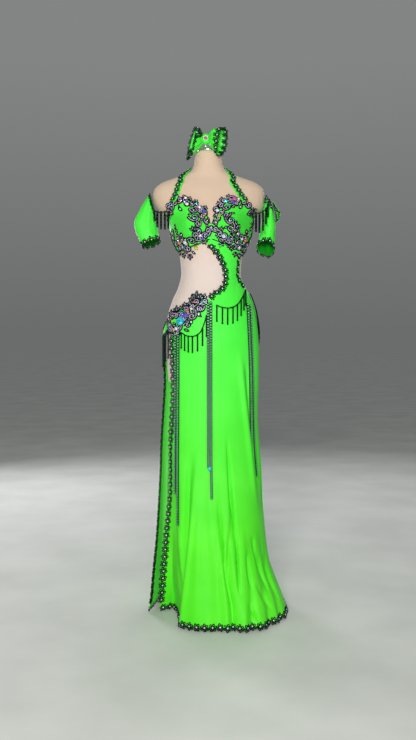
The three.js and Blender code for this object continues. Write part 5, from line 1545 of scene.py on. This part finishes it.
# %% Tables of the appliques
# motif, angle, height, heading in degrees, size, side to which a scroll curls
MOTIFS = {
    "cup_right": [
        ("scroll", -47.4, 1364, 60, 24, 1), ("leaf", -42.4, 1375, 80, 13),
        ("scroll", -38.2, 1377, 20, 24, -1), ("fan", -34.0, 1387, 70, 13),
        ("scroll", -30.7, 1380, 0, 22, 1), ("ring", -34.2, 1352, 0, 8), ("leaf", -33.8, 1365, -90, 13),
        ("scroll", -24.7, 1385, -10, 24, -1), ("fan", -20.9, 1380, 60, 12),
        ("scroll", -24.2, 1368, 200, 20, 1), ("scroll", -19.1, 1366, -40, 24, 1),
        ("fan", -15.4, 1371, 40, 12), ("scroll", -14.9, 1355, -50, 22, -1),
        ("scroll", -10.6, 1349, -30, 22, 1), ("fan", -6.1, 1350, 60, 12),
        ("scroll", -7.2, 1336, -80, 20, -1), ("leaf", -4.4, 1325, -60, 12),
        ("scroll", -20.8, 1343, -100, 26, -1), ("leaf", -23.6, 1332, 200, 12),
        ("scroll", -23.4, 1317, -60, 28, 1), ("leaf", -20.0, 1325, 20, 12),
        ("scroll", -17.7, 1303, -90, 26, -1), ("leaf", -15.1, 1313, 10, 12),
        ("leaf", -20.1, 1295, 200, 12), ("scroll", -12.9, 1325, -70, 22, 1), ("fan", -10.0, 1318, -50, 13),
        ("scroll", -6.8, 1310, -80, 18, 1), ("leaf", -3.9, 1300, 200, 11), ("leaf", -0.7, 1297, -30, 10),
        ("scroll", -52.6, 1350, 90, 22, -1), ("fan", -68.1, 1340, 180, 12),
        ("scroll", -42.6, 1368, 40, 22, 1), ("fan", -37.7, 1386, 100, 12), ("leaf", -27.5, 1377, 200, 12),
        ("scroll", -13.5, 1343, -60, 22, 1), ("fan", -6.5, 1338, 110, 12), ("ring", -4.9, 1314, 0, 6),
    ],
    "bust_right": [
        ("fan", -95.8, 1291, 135, 15), ("scroll", -68.9, 1284, -60, 24, 1), ("leaf", -57.2, 1292, 70, 15),
        ("fan", -56.9, 1282, 40, 12), ("scroll", -70.5, 1268, -90, 24, -1),
        ("scroll", -55.6, 1264, 30, 24, 1), ("ring", -45.8, 1272, 0, 8),
        ("scroll", -46.3, 1259, -20, 24, -1), ("scroll", -66.7, 1248, -70, 26, 1),
        ("fan", -88.0, 1239, 200, 14), ("scroll", -40.7, 1241, 10, 22, 1),
        ("scroll", -48.6, 1236, -120, 22, -1), ("fan", -67.4, 1224, -110, 16),
        ("fan", -56.3, 1214, -80, 16), ("scroll", -40.1, 1227, -60, 24, 1), ("fan", -39.7, 1209, -90, 18),
        ("leaf", -34.0, 1218, -40, 14), ("scroll", -30.4, 1256, 40, 28, -1),
        ("scroll", -22.2, 1269, 60, 24, 1), ("fan", -25.1, 1282, 100, 14),
        ("scroll", -18.5, 1282, 20, 22, -1), ("scroll", -16.0, 1260, -20, 24, 1),
        ("fan", -11.1, 1252, -60, 14), ("scroll", -9.3, 1270, 45, 24, -1),
        ("scroll", -4.0, 1280, 45, 26, 1), ("leaf", -7.5, 1259, -70, 13), ("fan", -24.3, 1252, -90, 13),
        ("scroll", 0.3, 1290, 50, 20, -1), ("scroll", -88.5, 1276, 90, 22, 1),
        ("fan", -91.1, 1266, 200, 14), ("scroll", -58.2, 1233, -40, 22, 1), ("fan", -45.7, 1226, -90, 14),
        ("ring", -40.1, 1258, 0, 8), ("scroll", -90.3, 1257, -90, 22, -1),
    ],
    "cup_left": [
        ("scroll", 8.0, 1330, 70, 20, -1), ("fan", 8.2, 1344, 80, 13), ("scroll", 7.3, 1347, 50, 24, 1),
        ("leaf", 10.1, 1363, 110, 13), ("scroll", 11.6, 1363, 40, 24, -1), ("fan", 13.5, 1376, 100, 14),
        ("scroll", 15.1, 1374, 10, 22, 1), ("fan", 19.4, 1386, 80, 13), ("scroll", 21.2, 1378, 0, 24, -1),
        ("scroll", 25.0, 1386, 20, 22, -1), ("scroll", 29.4, 1379, 0, 22, 1), ("fan", 33.3, 1389, 70, 13),
        ("ring", 34.0, 1359, 0, 8), ("leaf", 34.2, 1372, -80, 13), ("scroll", 37.4, 1379, -30, 24, -1),
        ("scroll", 44.5, 1367, -55, 24, 1), ("scroll", 55.9, 1350, -80, 26, -1),
        ("scroll", 80.0, 1332, -90, 26, 1), ("leaf", 67.0, 1338, 200, 12),
        ("scroll", 83.5, 1309, -100, 26, -1), ("leaf", 72.4, 1313, 190, 11),
        ("scroll", 15.1, 1339, -50, 24, -1), ("fan", 19.1, 1323, -40, 14),
        ("scroll", 18.6, 1352, -70, 26, 1), ("fan", 23.3, 1357, 20, 13),
        ("scroll", 22.4, 1327, -90, 24, -1), ("leaf", 25.3, 1332, 10, 13),
        ("scroll", 25.1, 1311, -80, 26, 1), ("fan", 29.7, 1304, -10, 14),
        ("scroll", 28.3, 1293, -50, 26, -1), ("leaf", 23.8, 1295, 200, 13),
        ("scroll", 6.8, 1309, -80, 18, -1), ("leaf", 5.4, 1304, -20, 11), ("ring", 7.9, 1332, 0, 6),
        ("scroll", 10.3, 1319, -40, 20, 1), ("fan", 51.3, 1354, 20, 12), ("fan", 82.5, 1320, 0, 12),
        ("scroll", 27.5, 1368, -60, 20, 1),
    ],
    "bust_left": [
        ("scroll", 5.6, 1286, -50, 24, 1), ("fan", 9.5, 1274, -100, 13),
        ("scroll", 12.8, 1275, -10, 24, -1), ("fan", 14.6, 1282, 80, 13),
        ("scroll", 19.6, 1265, 10, 24, 1), ("ring", 25.4, 1256, 0, 8), ("scroll", 15.6, 1257, -60, 22, -1),
        ("fan", 16.1, 1245, -110, 15), ("scroll", 26.9, 1250, -60, 22, 1), ("fan", 27.7, 1241, -70, 14),
        ("scroll", 32.2, 1285, -30, 26, 1), ("fan", 36.9, 1290, 60, 13),
        ("scroll", 38.7, 1273, -40, 24, -1), ("scroll", 46.1, 1263, 0, 24, 1),
        ("scroll", 56.5, 1264, 20, 22, -1), ("ring", 57.4, 1284, 0, 8), ("scroll", 63.3, 1275, 60, 24, 1),
        ("fan", 69.9, 1289, 80, 13), ("scroll", 81.1, 1261, -100, 24, -1), ("fan", 88.4, 1271, 20, 12),
        ("scroll", 56.9, 1249, -20, 24, 1), ("scroll", 71.2, 1245, -90, 22, -1),
        ("scroll", 41.8, 1251, -80, 24, 1), ("leaf", 37.2, 1254, 190, 13), ("fan", 85.5, 1286, 30, 13),
        ("scroll", 89.0, 1276, -90, 22, 1), ("fan", 28.2, 1274, 60, 12),
        ("scroll", 29.4, 1261, -20, 22, -1), ("fan", 55.8, 1237, -80, 14),
    ],
    "waist_left": [
        ("scroll", 41.2, 1235, -100, 24, -1), ("fan", 37.3, 1230, 200, 14),
        ("scroll", 49.5, 1232, -70, 24, 1), ("fan", 44.8, 1217, -100, 16), ("fan", 55.9, 1214, -80, 16),
        ("scroll", 62.1, 1233, -60, 22, -1), ("fan", 68.1, 1220, -70, 14), ("fan", 78.9, 1232, -80, 14),
    ],
    "hip_right": [
        ("fan", -61.6, 1005, 100, 20), ("scroll", -61.2, 992, 80, 26, -1), ("fan", -50.3, 1017, 95, 20),
        ("scroll", -54.7, 1005, 40, 26, 1), ("scroll", -57.5, 972, 100, 24, 1),
        ("fan", -60.6, 958, 240, 16), ("scroll", -48.7, 962, -30, 26, -1), ("fan", -49.3, 950, -120, 14),
        ("scroll", -39.5, 965, -20, 30, 1), ("leaf", -31.3, 961, -20, 18),
        ("scroll", -27.5, 977, 60, 26, -1), ("fan", -36.5, 1023, 80, 16),
        ("scroll", -38.8, 1010, 30, 26, -1), ("scroll", -31.2, 1024, 40, 26, 1),
        ("fan", -28.7, 1036, 90, 16), ("scroll", -24.8, 1036, 20, 28, -1), ("fan", -24.0, 1053, 110, 22),
        ("fan", -20.2, 1060, 90, 24), ("scroll", -18.3, 1048, 30, 26, 1), ("fan", -14.1, 1058, 80, 18),
        ("scroll", -12.3, 1043, 0, 24, -1), ("fan", -9.9, 1061, 70, 16), ("scroll", -7.1, 1049, 10, 22, 1),
        ("scroll", -23.5, 1017, -40, 26, 1), ("scroll", -20.2, 1006, -60, 36, -1),
        ("leaf", -16.0, 1011, -30, 18), ("ring", -13.6, 1010, 0, 9), ("scroll", -15.6, 1027, -50, 26, 1),
        ("leaf", -19.6, 1024, -80, 15), ("scroll", -10.3, 1027, -90, 22, -1), ("ring", -22.4, 984, 0, 8),
        ("fan", -28.2, 994, -60, 15), ("scroll", -41.6, 947, -60, 22, 1), ("fan", -53.5, 993, 140, 16),
        ("scroll", -47.1, 1007, 20, 22, -1), ("fan", -57.4, 979, 190, 16),
        ("scroll", -45.3, 948, 0, 22, 1), ("fan", -43.4, 1003, 100, 14),
        ("scroll", -53.6, 962, -60, 24, -1), ("fan", -44.7, 977, 200, 14), ("leaf", -42.5, 1011, 120, 14),
        ("scroll", -32.8, 994, -20, 22, 1), ("fan", -25.3, 1011, -60, 14),
        ("scroll", -27.5, 1011, 10, 22, -1), ("fan", -36.1, 1035, 100, 14), ("fan", -41.6, 1024, 110, 14),
    ],
}
# kind, angle, height, radius
GEMS = {
    "cup_right": [
        (ROSE, -29.6, 1379, 5.5), (CRYSTAL, -23.9, 1387, 5), (VIOLET, -26.0, 1374, 4),
        (CRYSTAL, -23.8, 1365, 6), (AMBER, -8.8, 1329, 3.5), (VIOLET, -8.0, 1343, 5.5),
        (CRYSTAL, -11.6, 1355, 6), (AQUA, -14.4, 1366, 4),
    ],
    "bust_right": [
        (AMBER, -54.4, 1247, 5.5), (CRYSTAL, -41.5, 1249, 7), (VIOLET, -11.9, 1259, 4),
        (CRYSTAL, -15.9, 1268, 6), (LIME, -24.0, 1229, 7.5), (CRYSTAL, -56.3, 1256, 4),
    ],
    "cup_left": [
        (AQUA, 17.4, 1375, 7), (ROSE, 26.3, 1384, 8), (VIOLET, 24.9, 1369, 6), (LIME, 12.0, 1327, 6.5),
        (CRYSTAL, 9.2, 1344, 6), (CRYSTAL, 30.8, 1385, 4.5),
    ],
    "bust_left": [
        (CRYSTAL, 18.4, 1267, 7), (VIOLET, 24.8, 1263, 4), (AMBER, 60.3, 1257, 6),
        (CRYSTAL, 50.0, 1261, 5), (VIOLET, 73.2, 1244, 4), (CRYSTAL, 38.4, 1275, 4),
    ],
    "waist_left": [
        (CRYSTAL, 49.5, 1232, 5),
    ],
    "hip_right": [
        (AQUA, -38.1, 987, 15), (VIOLET, -31.2, 1006, 8), (AMBER, -28.6, 1018, 5), (LIME, -52.9, 988, 4.5),
        (AQUA, -10.5, 1049, 4.5), (VIOLET, -36.2, 1008, 5), (LIME, -47.5, 958, 4),
        (CRYSTAL, -43.3, 962, 6), (ROSE, -21.4, 1050, 4), (CRYSTAL, -23.8, 1027, 5),
    ],
}
# table name, node, how high it lies, edge it follows, from, to, drop of the rim cord
APPLIQUES = [
    ("cup_right", "applique_cup_right", cup_lift, CUP_RIGHT_TOP, 0.02, 0.98, -1.5),
    ("cup_left", "applique_cup_left", cup_lift, CUP_LEFT_TOP, 0.02, 0.98, -1.5),
    ("bust_right", "applique_bust_right", under_lift(CUP_RIGHT_FOOT), CUP_RIGHT_FOOT, 0.02, 0.98, 1.0),
    ("bust_left", "applique_bust_left", under_lift(CUP_LEFT_FOOT), CUP_LEFT_FOOT, 0.02, 0.98, 1.0),
    ("waist_left", "applique_waist_left", panel_lift, WAIST_TOP, 0.3, 0.8, -2.0),
    ("hip_right", "applique_hip_right", hip_lift, HIP_RIGHT_TOP, 0.01, 0.93, -3.0),
]

# %% Appliques on the cups, the waist and the hip
RIM_CORD, RIM_LIFT = 1.6, 0.9

for table, node, lift, edge, start, end, drop in APPLIQUES:
    applique = Applique(lift)
    for motif in MOTIFS[table]:
        applique.add(*motif)
    rows = fit(edge, np.linspace(start, end, 70))
    rows[:, 1] += drop
    angles, levels = rows.T
    surface, height = lift(angles, levels)
    rim = raised(surface, angles, levels, height + RIM_LIFT)
    applique.cord(rim, out_of(surface, angles, levels), radius=RIM_CORD)
    for kind, angle, level, size in GEMS[table]:
        applique.stone((angle, level), kind, size)
    applique.finish(node)

# %% [markdown]
# The bow's knot is a band of the same cloth wrapped round the loops, with soft gathers and a
# rose stone. A small steel clip below it holds the bow on the neck cap.

# %% Bow knot and clip
KNOT = np.array([-16.0, -40.0, 1590.0])
KNOT_LENGTH = 19
KNOT_RADIUS, KNOT_ROUNDING = 12.2, 2.6
KNOT_TALL = 1.5  # height of the band over its depth
STONE_RIM = 7.2


def knot_place(u, v):
    turn = u * 2 * math.pi
    across = (v - 0.5) * KNOT_LENGTH
    swell = KNOT_RADIUS - KNOT_ROUNDING * (2 * v - 1) ** 2
    gathers = 0.5 * np.cos(7 * turn) * (0.4 + 0.6 * np.abs(2 * v - 1)) + 0.25 * np.cos(13 * turn + 2)
    radius = swell + gathers
    return KNOT + np.stack([across, -radius * np.cos(turn), KNOT_TALL * radius * np.sin(turn)], -1)


knot_grid = Cloth(84, 14, knot_place, ring=True, wall=0)


knot_mesh = finished(capped_mesh("knot_band", knot_grid.points, turned=True), [LYCRA])
stone_row = (KNOT + [0, -12.6, 1.0], (0, -1, 0.1), (0, 0, 1), 6.0)
knot_stone = set_pieces("knot_stone", BIG_STONE, [stone_row], ROSE)
rim_turns = np.linspace(0, 2 * math.pi, 12, endpoint=False)
rim_rows = [(KNOT + [STONE_RIM * math.cos(t), -12.0, 1.0 + STONE_RIM * math.sin(t)], (0, -1, 0),
             (0, 0, 1), 1.5) for t in rim_turns]
knot_rim = set_pieces("knot_rim", STONE, rim_rows, CRYSTAL)
joined("bow_knot_band", [knot_mesh, knot_stone, knot_rim], "bow_knot")

CLIP_HEIGHT = 1567.3
clip_turn = np.linspace(0, 2 * math.pi, 33)
clip_profile = np.array([(2.4, -21.0), (2.9, -21.4), (3.0, -22), (3.0, -40), (2.9, -40.6), (2.4, -41.0)])
clip_grid = np.stack([KNOT[0] + clip_profile[None, :, 0] * np.cos(clip_turn)[:, None],
                      np.broadcast_to(clip_profile[:, 1], (len(clip_turn), len(clip_profile))),
                      CLIP_HEIGHT + clip_profile[None, :, 0] * np.sin(clip_turn)[:, None]], -1)
joined("bow_clip_turned", [finished(capped_mesh("clip", clip_grid), [CHROME])], "bow_clip")

# %% [markdown]
# The floor is a plain pale sheet. Two large soft lights stand in front, with a weak cool one
# beside them. Two stand behind, draw a bright outline and shine through the cloth.

# %% Floor and lights
FLOOR_HALF = 30
corners = [(-FLOOR_HALF, -FLOOR_HALF, 0), (FLOOR_HALF, -FLOOR_HALF, 0), (FLOOR_HALF, FLOOR_HALF, 0),
           (-FLOOR_HALF, FLOOR_HALF, 0)]
floor_mesh = bpy.data.meshes.new("studio_floor")
floor_mesh.from_pydata(corners, [], [(0, 1, 2, 3)])
floor_mesh.materials.append(speckled("pale_floor_paint", ("#C6C8C6", "#D2D4D2"), 3.0, 6.0, Roughness=0.7))
new_object("studio_floor", floor_mesh)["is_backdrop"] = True

world = bpy.data.worlds.new("studio")
world.use_nodes = True
tree = world.node_tree
parts = add_node(tree, "ShaderNodeSeparateXYZ", {"Vector": coordinates(tree, "Generated")})
tone = two_tone(tree, parts.outputs["Z"], "#A2A6A4", "#C6CAC8", 0.0, 0.3)
tree.links.new(tone, tree.nodes["Background"].inputs["Color"])
tree.nodes["Background"].inputs["Strength"].default_value = 0.4
scene.world = world


def area_light(name, place, target, size, power, tint="#FFFFFF"):
    data = bpy.data.lights.new(name, "AREA")
    data.shape = "RECTANGLE"
    data.size, data.size_y = size
    data.energy = power
    data.color = linear(tint)[:3]
    light = new_object(name, data)
    light.location = place
    aim = np.array(target) - np.array(place)
    tilt = math.acos(-aim[2] / np.linalg.norm(aim))
    light.rotation_euler = (tilt, 0, math.atan2(aim[0], -aim[1]) + math.pi)


area_light("key", (-0.5, -3.8, 2.0), (0, 0, 0.85), (0.8, 1.2), 126, "#FFFBF4")
area_light("side", (-1.6, 2.6, 1.6), (0, 0, 0.5), (1.0, 1.0), 34)
area_light("front", (0.3, -3.6, 1.2), (0, 0, 0.8), (0.6, 1.2), 20)
area_light("fill", (2.6, -2.4, 1.4), (0, 0, 0.8), (1.4, 2.4), 2, "#DCEBFF")
area_light("rim", (1.2, 2.8, 2.4), (0, 0, 1.0), (1.6, 1.6), 26)
scene.view_settings.view_transform = "Standard"

# %% Sizes and finish
for small in (STONE, BIG_STONE, ROUND_BEAD, CUP_LINK, BUGLE_BEAD, FLOWER):
    bpy.data.objects.remove(small)

size = {"cad": [list(corner) for corner in cad_box], "visual": [list(corner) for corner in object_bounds()]}
print(size)
